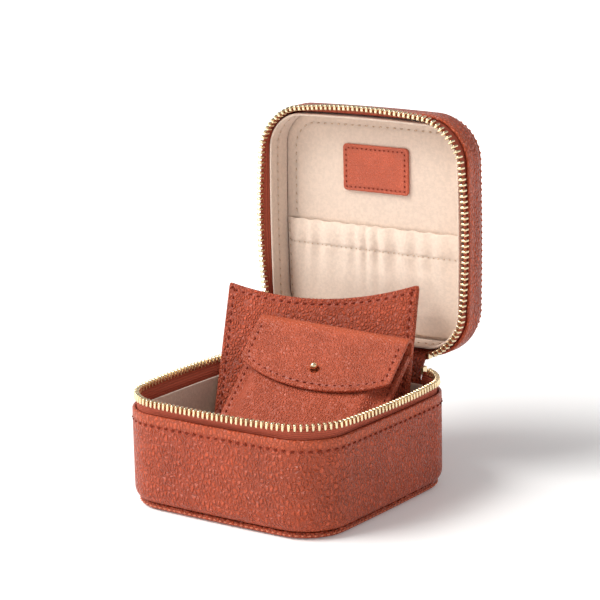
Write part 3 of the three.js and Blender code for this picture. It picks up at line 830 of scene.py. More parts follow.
def twill(name, tint):
    """Zip tape: fine ribs along the tape, with fibre colour variation."""
    s = Shading(name)
    pattern = s.add("UVMap", options={"uv_map": "pattern"})
    lengthwise = {"bands_direction": "Y"}
    ribs = s.add("TexWave", options=lengthwise, Vector=pattern, Scale=420.0, Distortion=0.8)
    fibre = s.noise(1800.0, 3.0)
    tone = s.blend(s.ramp(ribs, 0.15, 0.85), rgba(tint, 0.8), rgba(tint, 1.15))
    tone = s.blend(s.math("MULTIPLY", fibre, 0.35), tone, rgba(tint, 0.8))
    height = s.math("ADD", ribs, s.math("MULTIPLY", fibre, 0.35))
    normal = s.add("Bump", Strength=0.8, Distance=0.00014, Height=height)
    rough = s.math("ADD", s.math("MULTIPLY", fibre, 0.2), 0.7)
    return s.finish(tone, rough, normal)


def brass(name, tint):
    """Polished pale brass with faint handling marks, and painted shade in its hollows."""
    s = Shading(name)
    marks, tarnish = s.noise(900.0, 5.0, 0.7), s.noise(160.0)
    raised = s.add("NewGeometry", out="Pointiness")
    tone = s.blend(s.ramp(tarnish, 0.35, 0.75), rgba(tint), rgba(tint, 0.8))
    # painted shade: darker where the surface is hollow
    tone = s.blend(s.math("MULTIPLY", s.ramp(raised, 0.5, 0.42), 0.4), tone, rgba(tint, 0.35))
    rough = s.math("ADD", s.math("MULTIPLY", s.ramp(marks, 0.3, 0.75), 0.16), 0.17)
    normal = s.add("Bump", Strength=0.15, Distance=0.00004, Height=marks)
    return s.finish(tone, rough, normal, Metallic=1.0)


def fibreboard(name, tint):
    """Grey fibreboard with flecks."""
    s = Shading(name)
    flecks = s.noise(900.0, 4.0)
    tone = s.blend(s.ramp(flecks, 0.3, 0.7), rgba(tint, 0.8), rgba(tint, 1.15))
    normal = s.add("Bump", Strength=0.3, Distance=0.0001, Height=flecks)
    rough = s.math("ADD", s.math("MULTIPLY", flecks, 0.1), 0.85)
    return s.finish(tone, rough, normal)


# Each leather: its colour's setting, and its grain, depth, roughness and the brightness of the painted
# shade in its creases.
LEATHERS = {
    "body": ("body", 0.0017, 0.0009, 0.43, 0.6),
    "label": ("pouch", 0.0008, 0.00016, 0.5, 0.8),
    "divider": ("divider", 0.0013, 0.0006, 0.46, 0.58),
    "pouch": ("pouch", 0.0011, 0.00045, 0.42, 0.76),
}
OTHER_FINISHES = {
    "lining": suede,
    "pocket": suede,
    "thread": thread,
    "edge_thread": thread,
    "lining_thread": thread,
    "tape": twill,
    "brass": brass,
    "board": fibreboard,
}


def material(key):
    """The material of that name, made once."""
    name = "case_" + key
    look = bpy.context.scene.case_look
    if name in bpy.data.materials:
        return bpy.data.materials[name]
    if key in LEATHERS:
        tint, *finish = LEATHERS[key]
        return leather(name, getattr(look, tint), look.worn, *finish)
    return OTHER_FINISHES[key](name, getattr(look, key))


def dress(thing, key):
    """Gives a piece its material."""
    thing.data.materials.clear()
    thing.data.materials.append(material(key))


def fit(thing, body, key, slot, *nodes):
    """Dresses a piece, lets it ride on a body and hides the CAD nodes it stands for."""
    dress(thing, key)
    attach(thing, body)
    if nodes:
        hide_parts(*nodes)


# ---- builders ----


def build_wall(shell, stitch, body, panel_node, wall_node):
    """A leather wall with its turned edge, and its end panel. The base's wall has a topstitch too."""
    rim, side, lid = rim_height(), side_of(body), body == "lid"
    near, far = panel_depths(panel_node, body)
    centre = wall_centre(shell, near - PANEL_GAP)
    seam = shell.wall_stitch - shell.leather / 2
    dents = [] if lid else [(seam, 0.55 * MM, 0.16 * MM)]
    grid = ring_grid(shell, band(centre, shell.leather, dents), side)
    wall = grid_mesh(wall_node + "_leather", posed(body, grid))
    below = np.abs(grid[..., 2] - rim) - shell.wall_edge
    mark(wall, "wear", 0.7 * np.clip((shell.wall_stitch - below) / (1.4 * MM), 0, 1))
    fit(wall, body, "body", "leather_body", wall_node)
    if not lid:
        path, out = wall_seam(shell, shell.wall_edge + shell.wall_stitch, body, -0.1 * MM)
        row = sew(wall_node + "_stitches", wall, path, out, stitch)
        fit(row, body, "thread", "leather_body")

    def groove(x, y, d):
        return -0.22 * MM * bell(d, 2.6 * MM, 0.6 * MM)

    edge, _ = outline(shell, -PANEL_INSET, shell.side_bow)
    place = flat_place(rim + side * (near + far) / 2, side)
    grid = plate_grid(
        edge, (0, 0), place, (far - near) / 2, 0.9 * MM, step=1.4 * MM, relief=groove if lid else None
    )
    panel = grid_mesh(panel_node + "_leather", posed(body, grid))
    fit(panel, body, "body", "leather_body", panel_node)
    path, out = wall_seam(shell, (near + far) / 2, body, -PANEL_INSET)
    row = stitch_run(panel_node + "_stitches", path, out, stitch, pitch=stitch.edge_pitch, size=1.05)
    fit(row, body, "edge_thread", "leather_body")


def build_lining(shell, stitch, body, wall_node, panel_node, edge):
    """The suede on a wall and on its end panel. The lid's has stitches."""
    side = side_of(body)
    near, far = panel_depths(panel_node, body)
    offset, half = -LINING_INSET - shell.lining / 2, shell.lining / 2
    line = spaced([(offset, edge + half), (offset, near - PANEL_GAP - half)], 0.4 * MM)
    centre = level_path(line, shell.side_bow)
    grid = ring_grid(shell, band(centre, shell.lining), side)
    wall = grid_mesh(wall_node + "_suede", posed(body, grid))
    fit(wall, body, "lining", "suede_lining", wall_node)
    seam = 4.6 * MM

    def pad(x, y, d):
        return 0.18 * MM * (1 - np.exp(-d / (5 * MM))) - 0.2 * MM * bell(d, seam, 0.7 * MM)

    outer, _ = outline(shell, -PAD_INSET, shell.side_bow, 300)
    place = flat_place(rim_height() + side * (near + far) / 2, -side)
    grid = plate_grid(outer, (0, 0), place, (far - near) / 2, 0.4 * MM, step=1.0 * MM, relief=pad)
    panel = grid_mesh(panel_node + "_suede", posed(body, grid))
    fit(panel, body, "lining", "suede_lining", panel_node)
    if body == "base":
        return
    path, out = wall_seam(shell, shell.lid_lining_stitch, body, offset - half, facing=-1)
    row = sew(wall_node + "_stitches", wall, path, out, stitch, size=0.8)
    fit(row, body, "lining_thread", "suede_lining")
    loop = inset_loop(outer, (0, 0), seam)
    loop = open_stretch(loop, loop[:, 1] < -0.5 * MM)
    path = level_path(loop, rim_height() + near - 0.02 * MM)
    path, out = posed_path(body, path, np.tile([0.0, 0.0, -1.0], (len(path), 1)))
    row = sew(panel_node + "_stitches", panel, path, out, stitch, closed=False, size=0.8)
    fit(row, body, "lining_thread", "suede_lining")


def pocket_half_width(shell, inset, y):
    """Half the case's width at a distance y behind its middle, inside the outline by an inset."""
    half, radius = case_half(shell) - inset, max(shell.corner_radius - inset, 1 * MM)
    straight = half - radius
    over = np.clip(np.abs(y) - straight, 0, radius * 0.999)
    bowed = shell.side_bow * (1 - (y / half) ** 2)
    return straight + np.sqrt(radius**2 - over**2) + np.clip(bowed, 0, None)


def pocket_surface(shell, pocket, low):
    """The pocket's middle surface in the shut lid: lifted off the lining, gathered at its casing."""
    inset = pocket.inset + 0.2 * MM
    deep = case_half(shell) + shell.side_bow - inset
    u = np.sin(np.linspace(-1, 1, 240) * math.pi / 2 * 0.94) / math.sin(math.pi / 2 * 0.94)
    fine_end = 22 * MM
    fine = np.linspace(0.3 * MM, fine_end, 74)[:-1]
    y = np.concatenate([fine, np.linspace(fine_end, deep - 0.9 * MM, 34)])
    half = pocket_half_width(shell, inset, y)
    x = u[:, None] * half[None, :]
    across = np.abs(u)[:, None]
    seam = np.clip(1 - across**6, 0, 1) ** 0.5
    foot = np.clip((deep - y) / (9 * MM), 0, 1)[None, :] ** 0.7
    mouth = 0.62 + 0.38 * bell(y, pocket.casing * 0.5, 6 * MM)[None, :]
    lift = 0.5 * MM + pocket.rise * seam * foot * mouth
    phase = pocket.pleats * math.pi * u + 1.7 * np.sin(4.1 * u + 0.5) + 1.1 * np.sin(9.3 * u + 1)
    fading = np.exp(-(y - pocket.casing) / (7.5 * MM))
    below = np.where(y > pocket.casing, fading, 0.45 + 0.55 * (y / pocket.casing) ** 2)
    strength = (0.72 + 0.28 * np.sin(6.3 * u + 0.6))[:, None] * below[None, :]
    spread = phase[:, None] * (1 - 0.08 * np.clip((y - pocket.casing) / (20 * MM), 0, 1)[None, :])
    lift = lift + pocket.gather * strength * np.cos(spread) * seam
    pinch = 0.42 * MM * bell(y, pocket.casing, 0.75 * MM)[None, :]
    lift = lift - pinch * (0.6 + 0.4 * np.cos(spread)) * seam
    lift = lift + 0.25 * MM * np.cos(2.2 * u - 0.4)[:, None] * bell(y, 20 * MM, 9 * MM)[None, :]
    sway = 0.55 * MM * np.cos(spread + 0.9) * np.exp(-y / (3 * MM))[None, :] * seam
    return np.stack([x, y[None, :] + 0.5 * sway + 0 * x, low - np.maximum(lift, 0.5 * MM)], -1)


def surface_normals(points):
    """Unit normals of a grid of points."""
    return unit(np.cross(np.gradient(points, axis=0), np.gradient(points, axis=1)))


def thick_grid(points, thickness):
    """A closed grid round a sheet: each column runs down its front and back up its back."""
    n = surface_normals(points)
    front, back = points + n * thickness / 2, points - n * thickness / 2
    cap_a = points[:, :1] - (points[:, 1:2] - points[:, :1]) * 0.4
    cap_b = points[:, -1:] + (points[:, -1:] - points[:, -2:-1]) * 0.4
    return np.concatenate([cap_a, front, cap_b, back[:, ::-1]], axis=1)


def build_pocket(shell, stitch, pocket):
    """The gathered suede pocket with its elastic casing."""
    low = shut_height(span("lid_lining_panel", 1)[0])
    points = pocket_surface(shell, pocket, low)
    grid = swing_open(thick_grid(points, pocket.thickness))
    piece = grid_mesh("pocket_suede", grid, closed_columns=False)
    fit(piece, "lid", "pocket", "suede_pocket", "lid_pocket")
    casing = int(np.argmin(np.abs(points[0, :, 1] - pocket.casing)))
    normals = surface_normals(points)
    normals = normals if normals[len(points) // 2, casing, 2] < 0 else -normals
    seams = {
        "pocket_stitches": (np.s_[6:-6, casing], {"pitch": 2.3 * MM, "size": 0.72}),
        "pocket_left_stitches": (np.s_[12, 2:-10], {"size": 0.8}),
        "pocket_right_stitches": (np.s_[-13, 2:-10], {"size": 0.8}),
    }
    for name, (line, options) in seams.items():
        out = normals[line]
        path, out = posed_path("lid", points[line] + out * pocket.thickness / 2, out)
        row = sew(name, piece, path, out, stitch, closed=False, **options)
        fit(row, "lid", "lining_thread", "suede_pocket")


def build_label(pocket, stitch):
    """The stitched leather label in the lid, left plain."""
    low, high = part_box("lid_label")
    hinge_y, hinge_z = hinge_line()
    width, height = high.x - low.x, high.z - low.z
    centre = ((high.x + low.x) / 2, hinge_y - ((high.z + low.z) / 2 - hinge_z))
    face, back = shut_height(low.y), shut_height(high.y)
    edge = dense(rounded_rectangle(width, height, pocket.label_corner, centre), 0.35 * MM)

    def groove(x, y, d):
        return -0.13 * MM * bell(d, pocket.label_inset, 0.4 * MM)

    place, half = flat_place((face + back) / 2, -1), (back - face) / 2
    grid = plate_grid(edge, centre, place, half, 0.45 * MM, step=0.45 * MM, relief=groove)
    label = grid_mesh("label_leather", swing_open(grid))
    fit(label, "lid", "label", "leather_body", "lid_label")
    path = level_path(inset_loop(edge, centre, pocket.label_inset), face)
    path, out = posed_path("lid", path, np.tile([0.0, 0.0, -1.0], (len(path), 1)))
    row = sew("label_stitches", label, path, out, stitch, pitch=2.0 * MM, size=0.72)
    fit(row, "lid", "thread", "leather_body")


def zip_zone(left, right):
    """A test that keeps what lies outside the stretch of hinge and slider at the back."""

    def keep(x, y):
        return ~((y > 0) & (x > left) & (x < right))

    return keep


def build_tape(shell, zip_, body, node):
    """A length of twill tape, from beside the teeth down inside the wall."""
    left, right = span("zip_slider", 0)[0] - 1.2 * MM, span("base_end_stop", 0)[0]
    depth = np.linspace(2.3 * MM, zip_.tape_depth, 26)
    profile = band(tape_line(shell, zip_, depth), zip_.tape)
    grid = ring_grid(shell, profile, side_of(body), keep=zip_zone(left, right))
    piece = grid_mesh(node + "_twill", posed(body, grid), closed_columns=False)
    fit(piece, body, "tape", "zip_tape", node)


def build_teeth(shell, zip_, body, node):
    """Brass teeth at an even pitch: rounded blocks with a waist, a head and a grip on the tape."""
    points, _ = outline(shell, -zip_.inset, zip_.bow, 2400)
    left, right = span("zip_slider", 0)[0] - 0.3 * MM, span("base_end_stop", 0)[1] + 0.3 * MM
    line = open_stretch(points, zip_zone(left, right)(points[:, 0], points[:, 1]))
    s = arc_lengths(line)
    start = (0.5 if body == "lid" else 1.0) * zip_.pitch
    at = start + np.arange(int(s[-1] / zip_.pitch)) * zip_.pitch
    at = at[at < s[-1] - 0.4 * zip_.pitch]
    middle = pick(line, s, at)
    tangent = unit(pick(line, s, at + 0.4 * MM) - pick(line, s, at - 0.4 * MM))
    normal = np.stack([tangent[:, 1], -tangent[:, 0]], 1)
    level = np.array([0.0, 0.10, 0.28, 0.45, 0.62, 0.86, 0.97, 1.0])
    wide = np.array([0.62, 0.90, 1.0, 0.9, 0.88, 0.86, 0.70, 0.45])
    long = np.array([0.55, 0.84, 0.9, 0.92, 1.0, 1.0, 0.84, 0.52])
    around = np.linspace(0, 2 * math.pi, 13)[:-1]
    c, n = np.cos(around), np.sin(around)
    box_c, box_n = np.sign(c) * np.abs(c) ** 0.55, np.sign(n) * np.abs(n) ** 0.55
    out = zip_.tooth_width / 2 * wide[:, None] * box_c
    run = zip_.tooth_length / 2 * long[:, None] * box_n
    z = rim_height() + side_of(body) * (TEETH_GAP + zip_.tooth_height * (1 - level))
    out, run = out[None, ..., None], run[None, ..., None]
    flat = middle[:, None, None] + normal[:, None, None] * out + tangent[:, None, None] * run
    copies = np.concatenate([flat, np.broadcast_to(z[None, :, None, None], flat.shape[:3] + (1,))], -1)
    piece = many_mesh(node + "_brass", posed(body, copies))
    fit(piece, body, "brass", "brass", node)


def build_hinge(shell, zip_):
    """The leather hinge: one strip sewn into the base and the lid, bent over the gap at the back."""
    left, right = span("hinge_base_leaf", 0)
    rim, half = rim_height(), case_half(shell)
    depth = np.concatenate([np.linspace(9, 1.2, 20), np.linspace(1.2, 9, 20)]) * MM
    line = tape_line(shell, zip_, depth)
    columns = []
    for x in np.linspace(left, right, 60):
        y = half + line[:, 0] + line[:, 2] * (1 - (x / half) ** 2)
        base = np.column_stack([np.full(20, x), y[:20], rim - depth[:20]])
        lid = swing_open(np.column_stack([np.full(20, x), y[20:], rim + depth[20:]]))
        path = spaced(np.concatenate([base, lid]), 0.4 * MM)
        for _ in range(6):
            path[1:-1] = (path[:-2] + 2 * path[1:-1] + path[2:]) / 4
        path = spaced(path, 0.4 * MM)
        path = pick(path, np.linspace(0, 1, len(path)), np.linspace(0, 1, 56))
        profile = band(np.column_stack([path[:, 1], path[:, 2], path[:, 0]]), zip_.tape)
        columns.append(np.column_stack([profile[:, 2], profile[:, 0], profile[:, 1]]))
    piece = grid_mesh("hinge_leather", np.stack(columns), closed_columns=False)
    dress(piece, "body")
    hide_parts("hinge_base_leaf", "hinge_lid_leaf")
    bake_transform(piece)


def divider_outline(divider):
    """The divider's outline: straight sides, small bottom corners and a scooped top edge."""
    half, high, r, tip = divider.width / 2, divider.height, 2 * MM, 1.5 * MM
    end = high - tip * 0.4
    foot_left = curve((-half, r), (-half, 0), (r - half, 0), 6)
    foot_right = curve((half - r, 0), (half, 0), (half, r), 6)
    right = curve((half, high - tip), (half, high), (half - tip, end), 5)
    top = curve((half - tip, end), (0, high - 2 * divider.scoop), (tip - half, end), 40)[1:-1]
    left = curve((tip - half, end), (-half, high), (-half, high - tip), 5)
    return dense(np.concatenate([foot_left, foot_right, right, top, left]), 0.8 * MM)


def build_divider(divider, stitch):
    """The divider: two leathers over a board, stitched round three sides, a little bowed."""
    half, high = divider.width / 2, divider.height
    h, centre = divider.thickness / 2, (0, divider.height * 0.47)

    def place(x, y, up):
        bend = 0.9 * MM * (1 - (x / half) ** 2) * (y / high) - 0.5 * MM
        return stand(divider, np.stack([x, y, up - h + bend], -1))

    def sewn(x, y, d):
        return -0.2 * MM * bell(d, divider.seam, 0.55 * MM) * (y > divider.seam)

    edge = divider_outline(divider)
    grid = plate_grid(edge, centre, place, h, 0.95 * MM, step=0.65 * MM, relief=sewn)
    piece = grid_mesh("divider_leather", grid)
    nodes = "divider_front", "divider_back", "divider_board"
    fit(piece, "divider", "divider", "leather_divider", *nodes)
    loop = inset_loop(edge, centre, divider.seam)
    loop = open_stretch(loop, loop[:, 1] > divider.seam + 0.4 * MM)
    basis, _ = standing(divider)
    for name, side, level in (
        ("divider_stitches", 1, h - 0.08 * MM),
        ("divider_back_stitches", -1, -h),
    ):
        path = place(loop[:, 0], loop[:, 1], level)
        out = np.tile(basis[:, 2] * side, (len(path), 1))
        row = sew(name, piece, path, out, stitch, closed=False)
        fit(row, "divider", "thread", "leather_divider")


def pouch_sizes(pouch):
    """How far the front stands off the back's outer face, the fold's radius, and where it begins."""
    front_high = pouch.leather + pouch.hollow + pouch.front
    radius = (front_high + pouch.flap_gap + pouch.leather) / 2
    return front_high, radius, pouch.height - radius


def pouch_outline(pouch, top):
    """The pouch's outline, square at the top and rounded at the bottom corners."""
    half, r = pouch.width / 2, pouch.corner
    turn = np.linspace(0, math.pi / 2, 12)
    left = np.stack([-half + r - r * np.cos(turn), r - r * np.sin(turn)], 1)
    right = np.stack([half - r + r * np.sin(turn), r - r * np.cos(turn)], 1)
    return dense(np.concatenate([left, right, [(half, top), (-half, top)]]), 0.8 * MM)


def build_pouch_body(pouch, stitch):
    """The pouch's back and its bulging front, sewn together along a flat seam."""
    front_high, _, fold_line = pouch_sizes(pouch)
    edge = pouch_outline(pouch, fold_line - 0.3 * MM)
    centre = (0, pouch.height * 0.5)
    h, half, seam = pouch.leather / 2, pouch.width / 2, 1.8 * MM

    def on_back(x, y, up):
        return stand(pouch, np.stack([x, y, up + h + 0 * x], -1))

    grid = plate_grid(edge, centre, on_back, h, 0.55 * MM, step=1.2 * MM)
    piece = grid_mesh("pouch_back_leather", grid)
    fit(piece, "pouch", "pouch", "leather_pouch", "pouch_back")
    edge = pouch_outline(pouch, fold_line - 1.5 * MM)
    thin = pouch.front / 2
    low, high = pouch.leather + 0.3 * MM + thin, front_high - thin

    def from_edge(x, y):
        return np.minimum(half - np.abs(x), y)

    def on_front(x, y, up):
        rise = smooth(np.clip((from_edge(x, y) - 3.4 * MM) / (5.5 * MM), 0, 1))
        soft = 0.93 + 0.07 * np.cos(x / half * 2.2) * np.cos((y / pouch.height - 0.4) * 2.4)
        return stand(pouch, np.stack([x, y, up + (low + (high - low) * rise * soft)], -1))

    def sewn(x, y, d):
        return -0.12 * MM * bell(from_edge(x, y), seam, 0.45 * MM)

    middle = (0, pouch.height * 0.46)
    grid = plate_grid(edge, middle, on_front, thin, 0.5 * MM, step=0.7 * MM, relief=sewn)
    piece = grid_mesh("pouch_front_leather", grid)
    fit(piece, "pouch", "pouch", "leather_pouch", "pouch_front")
    basis, _ = standing(pouch)
    loop = inset_loop(edge, centre, seam)
    loop = open_stretch(loop, loop[:, 1] < fold_line - 3.5 * MM)
    path = on_front(loop[:, 0], loop[:, 1], thin - THREAD_SINK)
    out = np.tile(basis[:, 2], (len(path), 1))
    row = sew("pouch_stitches", piece, path, out, stitch, pitch=2.9 * MM, closed=False, size=0.85)
    fit(row, "pouch", "thread", "leather_pouch")


def flap_mapper(pouch):
    """Lays the flap's flat pattern over the fold: the pattern's y is minus the distance from the fold's
    front end, and past zero it runs round the half circle to the pouch's back."""
    _, radius, fold_line = pouch_sizes(pouch)
    middle = radius - pouch.leather / 2

    def place(x, y, up):
        turn = np.clip(y / middle, 0, math.pi)
        over = np.clip(y - math.pi * middle, 0, None)
        r = middle + up
        high = fold_line + np.minimum(y, 0) + r * np.sin(turn) - over
        out = radius + r * np.cos(turn)
        return stand(pouch, np.stack([x + 0 * y, high, out], -1))

    return place


def flap_outline(pouch):
    """The flap's flat pattern: the fold's seam behind, straight sides and a bowed front edge."""
    half = pouch.width / 2
    _, radius, _ = pouch_sizes(pouch)
    back = math.pi * (radius - pouch.leather / 2)
    side, tip = pouch.flap_side, pouch.flap_middle
    x = np.linspace(-1, 1, 60)
    corner = 1.3 * MM
    bow = -(side + (tip - side - corner) * (1 - np.abs(x) ** 2.1) ** 0.9)
    front = np.stack([x * (half - 3.2 * MM), bow - corner], 1)
    left = curve((-half, 2.2 * MM - side), (-half, -side), front[0], 8)[:-1]
    right = curve(front[-1], (half, -side), (half, 2.2 * MM - side), 8)[1:]
    return dense(np.concatenate([left, front, right, [(half, back), (-half, back)]]), 0.7 * MM)


def build_flap(pouch, stitch):
    """The flap and its fold in one leather, with a hole for the stud."""
    place, edge = flap_mapper(pouch), flap_outline(pouch)
    hole_at = (0, -pouch.stud_drop - 0.25 * MM)
    h = pouch.leather / 2

    def sewn(x, y, d):
        return -0.16 * MM * bell(d, pouch.flap_seam, 0.5 * MM) * (y < 0)

    grid = plate_grid(
        edge, hole_at, place, h, 0.55 * MM, hole=pouch.stud_hole, step=0.55 * MM, relief=sewn
    )
    piece = grid_mesh("flap_leather", grid)
    basis, origin = standing(pouch)
    _, radius, fold_line = pouch_sizes(pouch)
    local = (grid.reshape(-1, 3) - origin) @ basis
    past = local[:, 1] - fold_line
    fold_wear = 0.8 * bell(past, 1.2 * MM, 2.6 * MM)
    from_stud = np.hypot(local[:, 0], past + pouch.stud_drop)
    mark(piece, "wear", np.maximum(fold_wear, 0.6 * bell(from_stud, 2.2 * MM, 0.6 * MM)))
    dress(piece, "pouch")
    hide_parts("pouch_fold", "pouch_flap")
    start = stand(pouch, np.array([0, fold_line + 1.6 * MM, 2 * radius]))
    end = stand(pouch, np.array([0, fold_line - 1.6 * MM, 2 * radius]))
    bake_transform(piece)
    loop = inset_loop(edge, hole_at, pouch.flap_seam)
    loop = open_stretch(loop, loop[:, 1] < -1.8 * MM)
    path = place(loop[:, 0], loop[:, 1], np.full(len(loop), h - THREAD_SINK))
    out = np.tile(basis[:, 2], (len(path), 1))
    row = sew("flap_stitches", piece, path, out, stitch, pitch=2.9 * MM, closed=False, size=0.85)
    fit(row, "flap", "thread", "leather_pouch")


def lathe(name, profile, place, around=40):
    """A turned piece: a profile of (radius, height) carried round its axis, closed by tiny flat ends."""
    turn = np.linspace(0, 2 * math.pi, around, endpoint=False)
    r, h = np.array(profile, float).T[..., None]
    r = np.maximum(r, POLE)
    turned = np.stack([r * np.cos(turn), r * np.sin(turn), h + 0 * turn], -1)
    return many_mesh(name, place(turned[None]))


def build_stud(pouch):
    """The turned brass ball stud."""
    front_high, radius, fold_line = pouch_sizes(pouch)
    foot = front_high - pouch.front - 0.3 * MM
    low, wide, neck = foot - 0.6 * MM, 2.4 * MM, 0.85 * MM
    ball = 2 * radius + pouch.ball + 0.1 * MM
    turn = np.linspace(-math.acos(neck / pouch.ball), math.pi / 2, 18)
    bevel = 0.1 * MM
    profile = [(0, low), (wide - bevel, low), (wide, low + bevel), (wide, foot), (neck, foot)]
    profile += [(neck, h) for h in np.linspace(foot + 0.2 * MM, ball - 1.15 * MM, 6)]
    profile += [(pouch.ball * math.cos(a), ball + pouch.ball * math.sin(a)) for a in turn]

    def place(points):
        moved = points + np.array([0, fold_line - pouch.stud_drop, 0])
        return stand(pouch, moved)

    fit(lathe("stud_brass", profile, place), "pouch", "brass", "brass", "ball_stud")


def build_pull(stitch):
    """The leather pull with its stitched edge, hanging from the slider's ring."""
    low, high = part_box("pull_tab")
    x, y = (low.x + high.x) / 2, (low.y + high.y) / 2
    half, neck = (high.x - low.x) / 2, 1.7 * MM
    top, bottom = high.z, low.z
    turn = np.linspace(0, math.pi, 16)
    eye = top - neck
    arch = np.stack([neck * np.cos(turn), eye + neck * np.sin(turn)], 1)
    left = curve(arch[-1], (-neck, eye - 3 * MM), (-half, eye - 5 * MM), 8)[1:]
    right = curve((half, eye - 5 * MM), (neck, eye - 3 * MM), arch[0], 8)[:-1]
    corner = 1.5 * MM
    foot_left = curve((-half, bottom + corner), (-half, bottom), (corner - half, bottom), 6)
    foot_right = curve((half - corner, bottom), (half, bottom), (half, bottom + corner), 6)
    edge = dense(np.concatenate([arch, left, foot_left, foot_right, right]), 0.4 * MM)
    thick = (high.y - low.y) / 2

    def place(u, v, up):
        return np.stack([x + u, y + up + 0 * u, v], -1)

    grid = plate_grid(edge, (0, eye), place, thick, 0.4 * MM, hole=1.0 * MM, step=0.5 * MM)
    tab = grid_mesh("pull_leather", grid)
    fit(tab, "pull", "body", "leather_body", "pull_tab")
    seam = 1.0 * MM
    loop = inset_loop(edge, (0, bottom + 6 * MM), seam)
    loop = open_stretch(loop, loop[:, 1] < eye - 6 * MM)
    path = place(loop[:, 0], loop[:, 1], np.full(len(loop), thick))
    out = np.tile([0, 1.0, 0], (len(path), 1))
    row = sew("pull_stitches", tab, path, out, stitch, pitch=1.7 * MM, closed=False, size=0.7)
    fit(row, "pull", "thread", "leather_body")


CARRIED = {
    "base_board": ("board", "board"),
    "base_wall_board": ("board", "board"),
    "lid_board": ("board", "board"),
    "pocket_elastic": ("pocket", "elastic"),
    "base_end_stop": ("brass", "brass"),
    "lid_end_stop": ("brass", "brass"),
    "zip_slider": ("brass", "brass"),
    "pull_ring": ("brass", "brass"),
}


def dress_carried():
    """Gives the CAD nodes that stay in sight their materials."""
    for node, (key, slot) in CARRIED.items():
        dress(frame["nodes"][node], key)


# ---- stage ----


def floor_material():
    """A white floor that glows more with its distance from the case."""
    s = Shading("case_floor")
    cloud = s.math("MULTIPLY", s.noise(3.0), 0.02)
    tone = s.blend(cloud, rgba((1.0, 1.0, 1.0)), rgba((0.97, 0.96, 0.96)))
    away = s.add("VectorMath", out="Value", options={"operation": "LENGTH"}, i0=s.where)
    glow = s.math("ADD", s.math("MULTIPLY", s.ramp(away, 0.12, 0.5), 0.65), 0.11)
    return s.finish(
        tone, 0.9, Specular_IOR_Level=0.1, Emission_Color=tone, Emission_Strength=glow
    )


def area_light(name, position, aim, size, power, tint=(1, 1, 1)):
    """A square soft light that faces a point."""
    data = bpy.data.lights.new(name, "AREA")
    data.shape, data.size, data.energy, data.color = "SQUARE", size, power, tint
    thing = bpy.data.objects.new(name, data)
    bpy.context.scene.collection.objects.link(thing)
    thing.location = position
    thing.rotation_euler = (Vector(aim) - Vector(position)).to_track_quat("-Z", "Y").to_euler()


def build_camera(stage):
    """The camera, turned about the case and rolled a little."""
    a, e = stage.azimuth, stage.elevation
    back = Vector((math.sin(a) * math.cos(e), -math.cos(a) * math.cos(e), math.sin(e)))
    right = Vector((math.cos(a), math.sin(a), 0))
    up = back.cross(right)
    aim = Vector((0, 0, stage.aim_height)) + right * stage.shift_right + up * stage.shift_up
    c, n = math.cos(stage.roll), math.sin(stage.roll)
    turned_right, turned_up = right * c - up * n, right * n + up * c
    data = bpy.data.cameras.new("camera")
    data.lens, data.sensor_width, data.clip_start, data.clip_end = stage.lens, 36, 0.01, 20
    thing = bpy.data.objects.new("camera", data)
    bpy.context.scene.collection.objects.link(thing)
    basis = Matrix((turned_right, turned_up, back)).transposed().to_4x4()
    basis.translation = aim + back * stage.distance
    thing.matrix_world = basis
    bpy.context.scene.camera = thing


def studio_world(stage):
    """White surroundings, full at the horizon and dimmer overhead."""
    world = bpy.data.worlds.new("case_world")
    world.use_nodes = True
    tree = world.node_tree
    where = tree.nodes.new("ShaderNodeTexCoord")
    parts = tree.nodes.new("ShaderNodeSeparateXYZ")
    level = tree.nodes.new("ShaderNodeMath")
    level.operation = "ABSOLUTE"
    fade = tree.nodes.new("ShaderNodeMapRange")
    fade.interpolation_type = "SMOOTHSTEP"
    ends = {"From Min": 0.18, "From Max": 0.42, "To Min": 1.0, "To Max": stage.sky}
    for key, value in ends.items():
        fade.inputs[key].default_value = value
    tree.links.new(where.outputs["Generated"], parts.inputs[0])
    tree.links.new(parts.outputs["Z"], level.inputs[0])
    tree.links.new(level.outputs[0], fade.inputs["Value"])
    shade = tree.nodes["Background"]
    shade.inputs["Color"].default_value = (1.0, 1.0, 1.0, 1.0)
    tree.links.new(fade.outputs[0], shade.inputs["Strength"])
    return world


def build_stage(stage):
    """White floor and surroundings, a soft key from the upper left, a weak fill, and the camera."""
    edge = np.array([[-3.0, -3.0], [3.0, -3.0], [3.0, 3.0], [-3.0, 3.0]])
    corners = np.array([[x, y, z] for z in (-0.02, -0.0004) for x, y in edge])
    faces = [[0, 3, 2, 1], [4, 5, 6, 7], [0, 1, 5, 4], [1, 2, 6, 5], [2, 3, 7, 6], [3, 0, 4, 7]]
    floor = solid_mesh("floor", corners, faces)
    floor.data.shade_flat()
    floor.data.materials.append(floor_material())
    floor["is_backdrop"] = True
    scene = bpy.context.scene
    scene.world = studio_world(stage)
    area_light("key", (-0.62, -0.66, 1.1), (0, 0, 0.04), 0.85, stage.key, (1.0, 0.985, 0.96))
    area_light("fill", (0.9, -0.9, 0.6), (0, 0, 0.05), 0.9, stage.fill)
    build_camera(stage)
    scene.view_settings.view_transform = "Standard"


# ---- operators ----


class CaseOperator:
    """What every operator here shares."""

    bl_options = {"REGISTER", "UNDO"}


class CASE_OT_base_shell(CaseOperator, Operator):
    """Builds the base's leather wall and bottom panel with their stitches"""

    bl_idname = "jewellery_case.base_shell"
    bl_label = "Base Shell"

    def execute(self, context):
        shell, stitch = context.scene.case_shell, context.scene.case_stitch
        build_wall(shell, stitch, "base", "bottom_panel", "base_wall")
        return {"FINISHED"}


